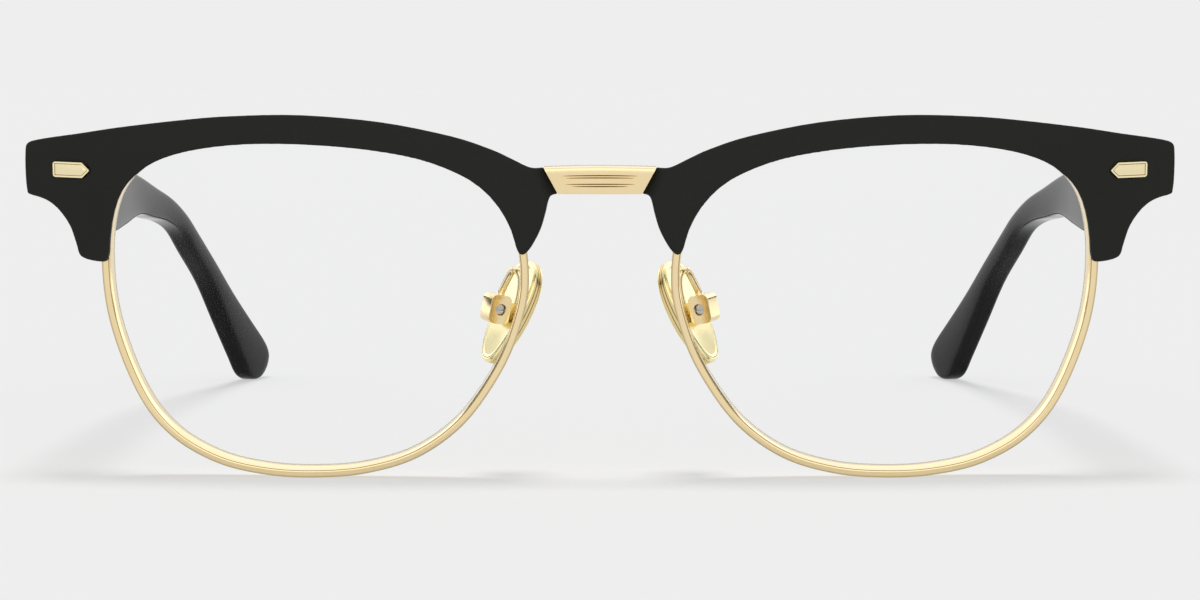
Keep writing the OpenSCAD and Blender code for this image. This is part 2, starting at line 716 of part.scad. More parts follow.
// Screw that the temple turns on
module hinge_screw() color("silver") translate([axis_u, axis_w, stack_bottom]) {
    rod(hinge_screw_r, stack_h + seat_gap);
    translate([0, 0, stack_h + seat_gap]) difference() {
        rod(hinge_head_r, hinge_head_h);
        translate([0, 0, hinge_head_h]) driver_slot(hinge_head_r);
    }
}

// Hinge leaf on the temple with two barrels
module temple_hinge() color("goldenrod") difference() {
    union() {
        side_prism(leaf_side_pts, leaf_out - leaf_t, leaf_out);
        for (i = [1, 3]) {
            barrel(i, barrel_r, 0);
            translate([axis_u, axis_w, stack_bottom + i * barrel_pitch])
                cube([leaf_out - axis_u, barrel_r, barrel_h]);
        }
    }
    for (i = [0, 2, 4]) barrel(i, barrel_r + hinge_clear, barrel_gap);
    translate([axis_u, axis_w, stack_bottom - overrun])
        rod(hinge_screw_r + running_gap, stack_h + 2 * overrun);
    for (p = rivet_places)
        translate([leaf_out - overrun, p[0], p[1]]) outward_rod(rivet_r + seat_gap, 2 * overrun);
}

// Two rivets through the leaf into the temple
module hinge_rivets() color("gold") for (p = rivet_places) translate([leaf_out - leaf_t, p[0], p[1]]) {
    outward_rod(rivet_r, leaf_t + rivet_l);
    translate([-rivet_head_h - seat_gap, 0, 0]) outward_rod(rivet_head_r, rivet_head_h);
    translate([-2 * seat_gap, 0, 0]) outward_rod(rivet_r, 3 * seat_gap);
}

module plan_prism(pts)
    translate([0, 0, temple_top - temple_fall - overrun])
        linear_extrude(temple_fall + 2 * overrun) polygon(pts);

// Core wire, or with some room the tunnel that it lies in
module core_bar(room) intersection() {
    side_prism(band(core_mid_pts, core_w / 2 + room), temple_in - temple_reach, frame_w);
    plan_prism(plan_pts(
        core_start - room,
        temple_end,
        0.5 - (core_t / 2 + room) / temple_t,
        0.5 + (core_t / 2 + room) / temple_t
    ));
}

// Stiffening wire inside the temple
module temple_core() color("silver") core_bar(0);

// Acetate temple that bends down behind the ear
module temple() color([0.10, 0.10, 0.10]) difference() {
    intersection() {
        side_prism(temple_side_pts, temple_in - temple_reach, frame_w);
        plan_prism(plan_pts(butt_depth, temple_end + overrun, 0, 1));
    }
    core_bar(seat_gap);
    for (p = rivet_places)
        translate([leaf_out - overrun, p[0], p[1]])
            outward_rod(rivet_r + seat_gap, overrun + rivet_l + seat_gap);
}

// The pad's frame: X away from the nose, Y back along the screw, Z up the pad
module at_pad(lean)
    translate([pad_out, pad_set_back, -pad_drop]) rotate([0, 0, -pad_splay]) rotate([0, -lean, 0]) children();

// Pad with a domed face towards the nose
module nose_pad() color([0.95, 0.84, 0.52]) difference() {
    at_pad(pad_lean) intersection() {
        side_prism(oval_pts(pad_w, pad_l), -pad_t / 2, pad_t / 2);
        translate([pad_dome_r - pad_t / 2, 0, 0]) sphere(r = pad_dome_r, $fn = ball_fn);
    }
    at_pad(pad_lean) pad_plate(seat_gap);
    at_pad(box_lean) pad_tab(seat_gap);
}

// Plate of the insert, or with some room the space for it
module pad_plate(room) side_prism(
    oval_pts(pad_plate_w + 2 * room, pad_plate_l + 2 * room), -pad_plate_t / 2 - room, pad_plate_t / 2 + room
);

// Tab of the insert that the screw passes through
module pad_tab(room) translate([0, -ear_slot_mid - tab_t / 2 - room, pad_screw_z]) {
    translate([0, 0, -tab_r - room]) cube([pad_screw_x, tab_t + 2 * room, 2 * tab_r + 2 * room]);
    translate([pad_screw_x, 0, 0]) backward_rod(tab_r + room, tab_t + 2 * room);
}

// Plate and tab let into the back of the pad
module pad_insert() color("goldenrod") difference() {
    union() {
        at_pad(pad_lean) pad_plate(0);
        at_pad(box_lean) pad_tab(0);
    }
    at_pad(box_lean) translate([pad_screw_x, -overrun, pad_screw_z])
        backward_rod(pad_screw_r + running_gap, 2 * overrun);
}

// Box at the end of the arm, with a slot towards the pad that its tab turns in
module pad_box() color("gold") at_pad(box_lean) translate([box_in, 0, pad_screw_z]) difference() {
    translate([0, -box_front, 0]) rotate([-90, 0, 0]) linear_extrude(box_front + box_back) polygon([
        [0, -box_h / 2 + box_in_chamfer], [box_in_chamfer, -box_h / 2],
        [box_l - box_chamfer, -box_h / 2], [box_l, -box_h / 2 + box_chamfer],
        [box_l, box_h / 2 - box_chamfer], [box_l - box_chamfer, box_h / 2],
        [box_in_chamfer, box_h / 2], [0, box_h / 2 - box_in_chamfer]
    ]);
    translate([0, -ear_slot_mid - ear_slot / 2, 0]) rotate([-90, 0, 0]) linear_extrude(ear_slot) polygon([
        [-overrun, -ear_slot_h / 2], [ear_slot_l - ear_slot_cut, -ear_slot_h / 2],
        [ear_slot_l, -ear_slot_h / 2 + ear_slot_cut], [ear_slot_l, ear_slot_h / 2 - ear_slot_cut],
        [ear_slot_l - ear_slot_cut, ear_slot_h / 2], [-overrun, ear_slot_h / 2]
    ]);
    translate([pad_screw_in, -box_front - overrun, 0])
        backward_rod(pad_screw_r + seat_gap / 2, box_front + box_back + 2 * overrun);
    translate([pad_screw_in, -box_front - overrun, 0])
        backward_rod(pad_screw_head_r + seat_gap, overrun + pad_screw_head_h + pad_screw_sunk);
}

// Screw of the pad, its head sunk in the box
module pad_screw() color("silver")
    at_pad(box_lean) translate([pad_screw_x, -box_front + pad_screw_sunk, pad_screw_z]) {
        difference() {
            backward_rod(pad_screw_head_r, pad_screw_head_h - seat_gap);
            rotate([90, 0, 0]) driver_slot(pad_screw_head_r);
        }
        translate([0, pad_screw_head_h / 2, 0])
            backward_rod(pad_screw_r, box_front + box_back - pad_screw_sunk - pad_screw_head_h / 2);
    }

// Wire arm whose leg is brazed along the back of the rim and that bends over to the box
module pad_arm() color("gold") {
    n = len(arm_pts);
    dirs = [for (i = [0 : n - 1]) unit(arm_pts[min(i + 1, n - 1)] - arm_pts[max(i - 1, 0)])];
    rings = [
        for (i = [0 : n - 1])
            let (side = unit(cross(dirs[i], [1, 1, 0])), up = cross(side, dirs[i]))
            for (k = [0 : arm_sides - 1])
                arm_pts[i] + arm_d / 2 * (cos(k * 360 / arm_sides) * side + sin(k * 360 / arm_sides) * up)
    ];
    walls = [
        for (i = [0 : n - 2], k = [0 : arm_sides - 1])
            let (a = i * arm_sides + k, b = i * arm_sides + (k + 1) % arm_sides)
            [a, b, b + arm_sides, a + arm_sides]
    ];
    ends = [
        [for (k = [arm_sides - 1 : -1 : 0]) k],
        [for (k = [0 : arm_sides - 1]) (n - 1) * arm_sides + k]
    ];
    polyhedron(rings, concat(walls, ends));
}

right() brow();  // brow_right
left() brow();  // brow_left
right() rim();  // rim_right
left() rim();  // rim_left
right() closing_block();  // closing_block_right
left() closing_block();  // closing_block_left
right() rim_screw();  // rim_screw_right
left() rim_screw();  // rim_screw_left
right() lens();  // lens_right
left() lens();  // lens_left
left() bridge();
right() brow_screw();  // brow_screw_right
left() brow_screw();  // brow_screw_left
right() plaque();  // plaque_right
left() plaque();  // plaque_left
right() pad_arm();  // pad_arm_right
left() pad_arm();  // pad_arm_left
right() pad_box();  // pad_box_right
left() pad_box();  // pad_box_left
right() pad_screw();  // pad_screw_right
left() pad_screw();  // pad_screw_left
right() pad_insert();  // pad_insert_right
left() pad_insert();  // pad_insert_left
right() nose_pad();  // nose_pad_right
left() nose_pad();  // nose_pad_left
right() front_hinge();  // front_hinge_right
left() front_hinge();  // front_hinge_left
right() hinge_screw();  // hinge_screw_right
left() hinge_screw();  // hinge_screw_left
right() temple_hinge();  // temple_hinge_right
left() temple_hinge();  // temple_hinge_left
right() hinge_rivets();  // hinge_rivets_right
left() hinge_rivets();  // hinge_rivets_left
right() temple();  // temple_right
left() temple();  // temple_left
right() temple_core();  // temple_core_right
left() temple_core();  // temple_core_left
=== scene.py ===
import json
from math import asin, atan2, cos, pi, radians, sin, sqrt, tan

import bpy
from mathutils import Matrix, Vector


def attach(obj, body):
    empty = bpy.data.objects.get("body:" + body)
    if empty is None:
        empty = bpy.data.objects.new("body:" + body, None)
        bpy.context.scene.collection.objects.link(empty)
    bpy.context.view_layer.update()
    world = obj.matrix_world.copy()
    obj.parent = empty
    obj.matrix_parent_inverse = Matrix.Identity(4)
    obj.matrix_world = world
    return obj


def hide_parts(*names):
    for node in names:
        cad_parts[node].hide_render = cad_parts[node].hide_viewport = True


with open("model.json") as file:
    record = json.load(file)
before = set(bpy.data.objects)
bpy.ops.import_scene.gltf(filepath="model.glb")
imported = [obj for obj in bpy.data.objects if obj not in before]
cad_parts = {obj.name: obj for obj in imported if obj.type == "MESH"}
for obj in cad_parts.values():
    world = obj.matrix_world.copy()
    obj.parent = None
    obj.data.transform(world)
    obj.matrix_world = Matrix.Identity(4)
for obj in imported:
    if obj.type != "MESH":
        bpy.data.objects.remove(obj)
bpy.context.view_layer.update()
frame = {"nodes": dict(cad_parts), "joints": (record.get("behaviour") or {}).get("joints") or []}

# Camera and studio
# The eyeglasses stand on a pale sheet that is lit a little from below, without an edge. A soft
# pale room and a broad overhead light light them. Polish shows white screens instead of the
# light: one in front, one above and one beyond each temple.
MM = 0.001
IMAGE_W = 1200
FOCAL_PX = 3526
SENSOR_W = 36
camera_place = Vector((0, -501.64, 51.4)) * MM
camera_drop = radians(3.866)
camera_near = 5 * MM
PALE = (0.855, 0.855, 0.855, 1)
room_strength = 0.38
overhead_strength = 1.7
overhead_softness = radians(20)
overhead_from_behind = radians(4)
floor_half = 6000 * MM
screen_size = 900 * MM
screen_distance = 700 * MM
screen_turn = radians(64)
screen_power = 1.3
upper_screen_w = 1600 * MM
upper_screen_turn = radians(-35)
upper_screen_power = 1.7
side_screen_size = 520 * MM
side_screen_power = 0.48
side_screen_place = Vector((0.75, 0.59, 0.3)) * screen_distance
floor_glow = 0.62
floor_colour = (0.355, 0.355, 0.355, 1)

bpy.ops.object.select_all(action="DESELECT")
bpy.ops.object.camera_add(location=camera_place, rotation=(pi / 2 - camera_drop, 0, 0))
camera = bpy.context.object
camera.name = "front_camera"
camera.data.sensor_width = SENSOR_W
camera.data.lens = FOCAL_PX / IMAGE_W * SENSOR_W
camera.data.clip_start = camera_near
bpy.context.scene.camera = camera
bpy.context.scene.view_settings.view_transform = "Standard"

room = bpy.data.worlds.new("pale_room")
bpy.context.scene.world = room
room.use_nodes = True
nodes, links = room.node_tree.nodes, room.node_tree.links
nodes.clear()
ray = nodes.new("ShaderNodeLightPath")
seen = nodes.new("ShaderNodeMath")
seen.operation = "MAXIMUM"
seen_or_through = nodes.new("ShaderNodeMath")
seen_or_through.operation = "MAXIMUM"
links.new(ray.outputs["Is Camera Ray"], seen.inputs[0])
links.new(ray.outputs["Is Glossy Ray"], seen.inputs[1])
links.new(seen.outputs[0], seen_or_through.inputs[0])
links.new(ray.outputs["Is Transmission Ray"], seen_or_through.inputs[1])
backdrop = nodes.new("ShaderNodeBackground")
backdrop.inputs["Color"].default_value = PALE
backdrop.inputs["Strength"].default_value = 1
glow = nodes.new("ShaderNodeBackground")
glow.inputs["Color"].default_value = (1, 1, 1, 1)
glow.inputs["Strength"].default_value = room_strength
choice = nodes.new("ShaderNodeMixShader")
links.new(seen_or_through.outputs[0], choice.inputs[0])
links.new(glow.outputs[0], choice.inputs[1])
links.new(backdrop.outputs[0], choice.inputs[2])
links.new(choice.outputs[0], nodes.new("ShaderNodeOutputWorld").inputs[0])

bpy.ops.object.light_add(type="SUN", rotation=(-overhead_from_behind, 0, 0))
overhead = bpy.context.object
overhead.name = "overhead_light"
overhead.data.energy = overhead_strength
overhead.data.angle = overhead_softness
overhead.visible_glossy = False


def white_screen(name, place, turn, size, power):
    """A white screen that shows in polish and lights no plain surface."""
    bpy.ops.object.light_add(type="AREA", location=place, rotation=turn)
    screen = bpy.context.object
    screen.name = name
    screen.data.size = size
    screen.data.energy = power
    screen.visible_diffuse = False
    return screen


white_screen(
    "white_screen", (0, -screen_distance, screen_distance / 2), (screen_turn, 0, 0),
    screen_size, screen_power,
)
upper_screen_place = (
    0, -screen_distance * sin(upper_screen_turn), screen_distance * cos(upper_screen_turn)
)
upper_screen = white_screen(
    "upper_white_screen", upper_screen_place, (upper_screen_turn, 0, 0),
    upper_screen_w, upper_screen_power,
)
upper_screen.data.shape = "RECTANGLE"
upper_screen.data.size_y = screen_size
for way, side in ((1, "left"), (-1, "right")):
    place = Vector((way * side_screen_place.x, side_screen_place.y, side_screen_place.z))
    side_screen = white_screen(
        side + "_white_screen", place, place.to_track_quat("Z", "Y").to_euler(),
        side_screen_size, side_screen_power,
    )
    side_screen.visible_camera = False

bpy.ops.mesh.primitive_plane_add(size=2 * floor_half)
floor = bpy.context.object
floor.name = "floor"
sheet = bpy.data.materials.new("pale_sheet")
sheet.use_nodes = True
sheet_shader = sheet.node_tree.nodes["Principled BSDF"]
sheet_shader.inputs["Base Color"].default_value = floor_colour
sheet_shader.inputs["Roughness"].default_value = 1
sheet_shader.inputs["Specular IOR Level"].default_value = 0
sheet_shader.inputs["Emission Color"].default_value = PALE
sheet_shader.inputs["Emission Strength"].default_value = floor_glow
floor.data.materials.append(sheet)


# Rims
# A rim is a ring of gold-plated wire, bent to the lens's outline and polished, with a fine line
# rolled into its face. The lens fills the groove inside it. It is slit behind the brow's foot,
# where the closing block is brazed to its two ends.
lens_w, lens_h, between_lenses = 52, 41.8, 18
front_curve_r = 132
face_form = radians(4)
rim_face, rim_depth = 1.06, 2.8
groove_depth = 0.5
rim_lean_share = 0.4
rim_steps = 8
welded_within = 0.0005 * MM
lens_centre = (between_lenses + lens_w) / 2
half_open_w = lens_w / 2 - groove_depth
half_open_h = lens_h / 2 - groove_depth
curve_cx = lens_centre - front_curve_r * sin(face_form)
curve_cy = front_curve_r * cos(face_form)
hinge_u, hinge_w, hinge_rise = 64.2, 13.2, 16.2
lens_shares = [
    (0.997, 0.314), (0.966, -0.093), (0.842, -0.521), (0.690, -0.771), (0.477, -0.925),
    (0.240, -0.990), (0.001, -1.000), (-0.236, -0.970), (-0.472, -0.875), (-0.677, -0.688),
    (-0.834, -0.424), (-0.935, -0.160), (-0.991, 0.150), (-0.953, 0.485), (-0.808, 0.740),
    (-0.569, 0.892), (-0.275, 0.968), (0.078, 1.000), (0.398, 0.988), (0.667, 0.926),
    (0.839, 0.819), (0.953, 0.637),
]
edge_r = 0.16
edge_mid = 0.3 * edge_r
line_in, line_w, line_depth = 0.15, 0.09, 0.09
# The rim's section, as pairs of a distance out from the opening and a depth behind the face
rim_section = [
    (0, edge_r), (edge_mid, edge_mid), (line_in - line_w, 0.12 * edge_r),
    (line_in, line_depth), (line_in + line_w, 0.1 * edge_r), (0.4 * rim_face, 0),
    (rim_face - 2 * edge_r, 0.1 * edge_r), (rim_face - edge_mid, 0.5 * edge_r),
    (rim_face, 1.4 * edge_r), (rim_face, rim_depth - edge_r),
    (rim_face - edge_mid, rim_depth - edge_mid), (rim_face - edge_r, rim_depth),
    (edge_r, rim_depth), (edge_mid, rim_depth - edge_mid), (0, rim_depth - edge_r),
]
# Shade is painted into the colour along the rolled line, and a painted dark reflection along the
# outer front corner.
rolled_line, outer_corner = rim_section[3], rim_section[7]
rim_shade = {rolled_line: 0.75, outer_corner: 0.7}

left_hinge = next(joint for joint in frame["joints"] if joint["name"] == "left_temple_fold")
stand_tilt = atan2(-left_hinge["axis"][1], left_hinge["axis"][2])
tipped = Matrix.Rotation(stand_tilt, 4, "X")
hinge_place = Vector(left_hinge["pos_m"])
hinge_in_front = Vector((hinge_u, hinge_w, hinge_rise)) * MM
stand = Matrix.Translation(hinge_place - tipped @ hinge_in_front) @ tipped


def placed(u, w, v):
    """A place in the front's own frame, in millimetres, as one on the standing frame, in metres."""
    return stand @ (Vector((u, w, v)) * MM)


def face_depth(u, v, forward):
    """Depth of the curve that the lenses follow, or of one that far ahead of it."""
    return curve_cy - sqrt((front_curve_r + forward) ** 2 - (u - curve_cx) ** 2 - v * v)


def between(a, b, c, d, t):
    """A step of a smooth curve through b and c."""
    bend, twist = 2 * a - 5 * b + 4 * c - d, 3 * b - a - 3 * c + d
    return (2 * b + (c - a) * t + bend * t * t + twist * t**3) / 2


def smooth_loop(points, steps):
    """A smooth closed curve through points."""
    n = len(points)
    points = [Vector(p) for p in points]
    return [
        between(points[i - 1], points[i], points[(i + 1) % n], points[(i + 2) % n], k / steps)
        for i in range(n)
        for k in range(steps)
    ]


def smooth_run(points, steps):
    """A smooth open curve through points."""
    n = len(points)
    points = [Vector(p) for p in points]
    run = [
        between(
            points[max(i - 1, 0)], points[i], points[i + 1], points[min(i + 2, n - 1)], k / steps
        )
        for i in range(n - 1)
        for k in range(steps)
    ]
    return run + [points[-1]]


def grown(loop, by):
    """A clockwise loop seen from the front, moved outwards."""
    n = len(loop)
    out = []
    for i in range(n):
        along = (loop[(i + 1) % n] - loop[i - 1]).normalized()
        out.append(loop[i] + by * Vector((-along.y, along.x)))
    return out


def pick(piece):
    """Makes a piece the active one and the only one selected."""
    bpy.ops.object.select_all(action="DESELECT")
    bpy.context.view_layer.objects.active = piece
    piece.select_set(True)


def rolled(name, rows, ends="filled", painted_shades=None):
    """A flat grid whose rows are laid round the piece as rings of points, one after another.

    The last argument says, point by point, how much shade is painted into the colour, in engravings
    and along some edges and walls.
    """
    bpy.ops.object.select_all(action="DESELECT")
    bpy.ops.mesh.primitive_grid_add(
        x_subdivisions=len(rows[0]), y_subdivisions=len(rows) - 1, size=2 * MM
    )
    piece = bpy.context.object
    piece.name = name
    piece.data.name = name
    places = [place for row in rows for place in [*row, row[0]]]
    for corner, place in zip(piece.data.vertices, places, strict=True):
        corner.co = place
    if painted_shades:
        painted_shade = piece.data.attributes.new("painted_shade", "FLOAT", "POINT")
        shade_amounts = [depth for row in painted_shades for depth in [*row, row[0]]]
        for mark, depth in zip(painted_shade.data, shade_amounts, strict=True):
            mark.value = depth
    bpy.ops.object.mode_set(mode="EDIT")
    bpy.ops.mesh.select_all(action="SELECT")
    bpy.ops.mesh.remove_doubles(threshold=welded_within)
    if ends == "filled":
        bpy.ops.mesh.select_all(action="DESELECT")
        bpy.ops.mesh.select_mode(type="EDGE")
        bpy.ops.mesh.select_non_manifold()
        bpy.ops.mesh.edge_face_add()
        bpy.ops.mesh.select_mode(type="VERT")
        bpy.ops.mesh.select_all(action="SELECT")
    bpy.ops.mesh.normals_make_consistent(inside=False)
    bpy.ops.object.mode_set(mode="OBJECT")
    return piece


def smoothed(piece, sharp_angle):
    """Shades a piece smooth, except at edges sharper than this many degrees."""
    pick(piece)
    bpy.ops.object.shade_smooth_by_angle(angle=radians(sharp_angle))


def finish(piece, material):
    """Gives a piece its material."""
    piece.data.materials.clear()
    piece.data.materials.append(material)


def mirrored(piece, name):
    """The same piece for the other side, with a mesh of its own."""
    pick(piece)
    bpy.ops.object.duplicate(linked=False)
    twin = bpy.context.object
    twin.name = name
    twin.data.name = name
    bpy.ops.transform.resize(value=(-1, 1, 1), center_override=(0, 0, 0))
    bpy.ops.object.transform_apply(location=True, rotation=True, scale=True)
    bpy.ops.object.mode_set(mode="EDIT")
    bpy.ops.mesh.select_all(action="SELECT")
    bpy.ops.mesh.normals_make_consistent(inside=False)
    bpy.ops.object.mode_set(mode="OBJECT")
    return twin


metal_cloud_scale, metal_cloud_detail, metal_grain_detail = 260, 3, 4
metal_polish_least, metal_polish_most = 0.75, 1.3
metal_grain_depth = 0.01 * MM


def noise(material, scale, detail):
    """A soft unevenness that stays in its place on the piece."""
    nodes, links = material.node_tree.nodes, material.node_tree.links
    coords = nodes.new("ShaderNodeTexCoord")
    pattern = nodes.new("ShaderNodeTexNoise")
    pattern.inputs["Scale"].default_value = scale
    pattern.inputs["Detail"].default_value = detail
    links.new(coords.outputs["Object"], pattern.inputs["Vector"])
    return pattern


def tinted(material, pattern, colour, other):
    """A colour that goes over into another one where a pattern is strong."""
    nodes, links = material.node_tree.nodes, material.node_tree.links
    tint = nodes.new("ShaderNodeMix")
    tint.data_type = "RGBA"
    tint.inputs["A"].default_value = colour
    tint.inputs["B"].default_value = other
    links.new(pattern.outputs["Fac"], tint.inputs["Factor"])
    return tint


def grained(material, grain, roughness_range, bump_strength, bump_depth):
    """Gives a surface a polish and a relief that both follow its grain."""
    nodes, links = material.node_tree.nodes, material.node_tree.links
    shader = nodes["Principled BSDF"]
    polish = nodes.new("ShaderNodeMapRange")
    polish.inputs["To Min"].default_value = roughness_range[0]
    polish.inputs["To Max"].default_value = roughness_range[1]
    links.new(grain.outputs["Fac"], polish.inputs["Value"])
    links.new(polish.outputs["Result"], shader.inputs["Roughness"])
    bump = nodes.new("ShaderNodeBump")
    bump.inputs["Strength"].default_value = bump_strength
    bump.inputs["Distance"].default_value = bump_depth
    links.new(grain.outputs["Fac"], bump.inputs["Height"])
    links.new(bump.outputs["Normal"], shader.inputs["Normal"])


def metal(name, colour, deep_colour, painted_shade_colour, roughness, brushing, grain):
    """Plated metal, its tint and polish a little uneven, with shade painted into its colour where
    marked.
    """
    material = bpy.data.materials.new(name)
    material.use_nodes = True
    nodes, links = material.node_tree.nodes, material.node_tree.links
    shader = nodes["Principled BSDF"]
    shader.inputs["Metallic"].default_value = 1
    clouds = noise(material, metal_cloud_scale, metal_cloud_detail)
    tint = tinted(material, clouds, colour, deep_colour)
    # Painted shade: where a point is marked, the colour goes over into a dark one.
    painted_shade = nodes.new("ShaderNodeAttribute")
    painted_shade.attribute_name = "painted_shade"
    shaded_tint = tinted(material, painted_shade, colour, painted_shade_colour)
    links.new(tint.outputs["Result"], shaded_tint.inputs["A"])
    links.new(shaded_tint.outputs["Result"], shader.inputs["Base Color"])
    polish = (roughness * metal_polish_least, roughness * metal_polish_most)
    lines = noise(material, grain, metal_grain_detail)
    grained(material, lines, polish, brushing, metal_grain_depth)
    return material


def wire_ring(out, depth):
    """Places along the rim at one point of its section. The wire leans in towards its back."""
    ring = []
    for inner, p in zip(grown(opening, out - 1), grown(opening, out), strict=True):
        outwards = p - inner
        further = p + outwards
        slope = face_depth(further.x, further.y, 0) - face_depth(p.x, p.y, 0)
        p = p - outwards * rim_lean_share * slope * depth
        ring.append(placed(p.x, face_depth(p.x, p.y, -depth), p.y))
    return ring


rim_gold = metal(
    "rim_gold", colour=(0.95, 0.78, 0.47, 1), deep_colour=(0.92, 0.74, 0.42, 1),
    painted_shade_colour=(0.3, 0.2, 0.09, 1), roughness=0.15, brushing=0.2, grain=1800,
)
opening = smooth_loop(
    [(lens_centre + x * half_open_w, y * half_open_h) for x, y in lens_shares], rim_steps
)
rim_rows, rim_painted_shades = [], []
for out, depth in [*rim_section, rim_section[0]]:
    rim_rows.append(wire_ring(out, depth))
    rim_painted_shades.append([rim_shade.get((out, depth), 0)] * len(opening))
rim = rolled("rim_left_wire", rim_rows, ends="joined", painted_shades=rim_painted_shades)
smoothed(rim, sharp_angle=50)
finish(rim, rim_gold)
other_rim = mirrored(rim, "rim_right_wire")
for piece, side in ((rim, "left"), (other_rim, "right")):
    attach(piece, "front")
    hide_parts("rim_" + side)


# Closing blocks
# Behind the brow's foot the rim is slit. A small brass block, brazed to the two ends and cut
# in half, is drawn together round the lens by a steel screw from below.
block_edge, small_screw_edge = 0.12 * MM, 0.05 * MM
flat_within, tumbled_from = radians(1), radians(30)
edge_segments = 2


def cad_copy(node, name):
    """A copy of a node of the frame with a mesh of its own, its loose triangles joined up."""
    source = frame["nodes"][node]
    piece = bpy.data.objects.new(name, source.data.copy())
    piece.data.name = name
    bpy.context.scene.collection.objects.link(piece)
    pick(piece)
    bpy.ops.mesh.customdata_custom_splitnormals_clear()
    bpy.ops.object.mode_set(mode="EDIT")
    bpy.ops.mesh.select_all(action="SELECT")
    bpy.ops.mesh.remove_doubles(threshold=welded_within)
    bpy.ops.object.mode_set(mode="OBJECT")
    return piece


def apply_modifiers(piece):
    """Makes a piece's modifiers final."""
    pick(piece)
    for modifier in list(piece.modifiers):
        bpy.ops.object.modifier_apply(modifier=modifier.name)


def softened(node, name, edge):
    """A copy of a node with its flats in one face each and its edges rounded by tumbling."""
    piece = cad_copy(node, name)
    bpy.ops.object.mode_set(mode="EDIT")
    bpy.ops.mesh.select_all(action="SELECT")
    bpy.ops.mesh.dissolve_limited(angle_limit=flat_within)
    bpy.ops.object.mode_set(mode="OBJECT")
    tumble = piece.modifiers.new("tumbled_edges", "BEVEL")
    tumble.width = edge
    tumble.segments = edge_segments
    tumble.limit_method = "ANGLE"
    tumble.angle_limit = tumbled_from
    smoothed(piece, sharp_angle=40)
    shading = piece.modifiers.new("flat_faces", "WEIGHTED_NORMAL")
    shading.keep_sharp = True
    apply_modifiers(piece)
    return piece


def fitted(node, name, edge, material, body):
    """A softened copy of a node in its finish, riding on its body in the node's place."""
    piece = softened(node, name, edge)
    finish(piece, material)
    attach(piece, body)
    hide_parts(node)


small_gold = metal(
    "small_gold", colour=(0.94, 0.78, 0.47, 1), deep_colour=(0.88, 0.71, 0.40, 1),
    painted_shade_colour=(0.3, 0.23, 0.13, 1), roughness=0.2, brushing=0.3, grain=2400,
)
screw_steel = metal(
    "screw_steel", colour=(0.62, 0.61, 0.59, 1), deep_colour=(0.5, 0.5, 0.49, 1),
    painted_shade_colour=(0.1, 0.1, 0.1, 1), roughness=0.25, brushing=0.4, grain=2400,
)
for side in ("left", "right"):
    fitted(
        "closing_block_" + side, "rim_block_" + side,
        block_edge, small_gold, "front",
    )
    fitted(
        "rim_screw_" + side, "rim_block_screw_" + side,
        small_screw_edge, screw_steel, "front",
    )


# Lenses
# Clear demonstration lenses of thin plastic with a faint coating. Each is cut to the rim's
# outline, its edge bevelled to fit the groove, and is held when the rim's screw is tightened.
haze_scale, haze_detail = 60, 2
coating_roughness, coating_ior = 0.03, 1.08
coating_green, coating_blue = (0.9, 1, 0.95, 1), (0.95, 0.97, 1, 1)
lens_clear = (0.998, 1, 0.999, 1)


def coated_plastic(name):
    """Clear plastic with an anti-reflection coating, which shows only where it is seen aslant."""
    material = bpy.data.materials.new(name)
    material.use_nodes = True
    nodes, links = material.node_tree.nodes, material.node_tree.links
    nodes.clear()
    haze = noise(material, haze_scale, haze_detail)
    tint = tinted(material, haze, coating_green, coating_blue)
    through = nodes.new("ShaderNodeBsdfTransparent")
    through.inputs["Color"].default_value = lens_clear
    gloss = nodes.new("ShaderNodeBsdfGlossy")
    gloss.inputs["Roughness"].default_value = coating_roughness
    links.new(tint.outputs["Result"], gloss.inputs["Color"])
    aslant = nodes.new("ShaderNodeFresnel")
    aslant.inputs["IOR"].default_value = coating_ior
    surface = nodes.new("ShaderNodeMixShader")
    links.new(aslant.outputs["Fac"], surface.inputs[0])
    links.new(through.outputs[0], surface.inputs[1])
    links.new(gloss.outputs[0], surface.inputs[2])
    links.new(surface.outputs[0], nodes.new("ShaderNodeOutputMaterial").inputs["Surface"])
    return material


lens_plastic = coated_plastic("lens_plastic")
for side in ("left", "right"):
    lens = cad_copy("lens_" + side, "lens_" + side + "_clear")
    smoothed(lens, sharp_angle=25)
    finish(lens, lens_plastic)
    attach(lens, "front")
    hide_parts("lens_" + side)


# Bridge
# One gold bar between the rims, bowed forward, with two engraved beads across its front. At
# each end a thinner tongue runs on behind the brow, which is screwed to it.
bridge_h, bridge_t, bridge_r = 3.4, 2.4, 60
bridge_rise, bridge_proud = 15.8, 0.25
bridge_arch, bridge_corner = 0.2, 0.36
bridge_steps = 80
tongue_t, tongue_h = 0.8, 1.9
tongue_in, tongue_out = 4.6, 13.1
tongue_steps, tongue_round_from, tongue_round_steps = 20, 17, 3.2
# The tongue's section, as pairs of shares of its thickness and of half its height
tongue_section = (
    (0.125, 1), (0, 0.9), (0, -0.9), (0.125, -1), (0.875, -1), (1, -0.9), (1, 0.9), (0.875, 1),
)
seat_gap = 0.04
brow_half_w, brow_rise = 71, 23.8
lug_bottom = (0.0732 * brow_half_w, 0.596 * brow_rise)
lug_top = (0.0968 * brow_half_w, 0.733 * brow_rise)
bead_rises, bead_half = (0.5, -0.56), 0.14
line_half, bridge_line_depth = 0.072, 0.15
line_ends = (5.02, 4.6, 5.05, 4.2)
line_fade, line_least = 0.35, 0.001


def bow(u):
    """Depth that the bridge's bow adds at a distance from the middle."""
    return bridge_r - sqrt(bridge_r**2 - u * u)


rim_side = between_lenses / 2 + rim_face
bridge_front = face_depth(rim_side, bridge_rise, bridge_proud) - bow(rim_side)


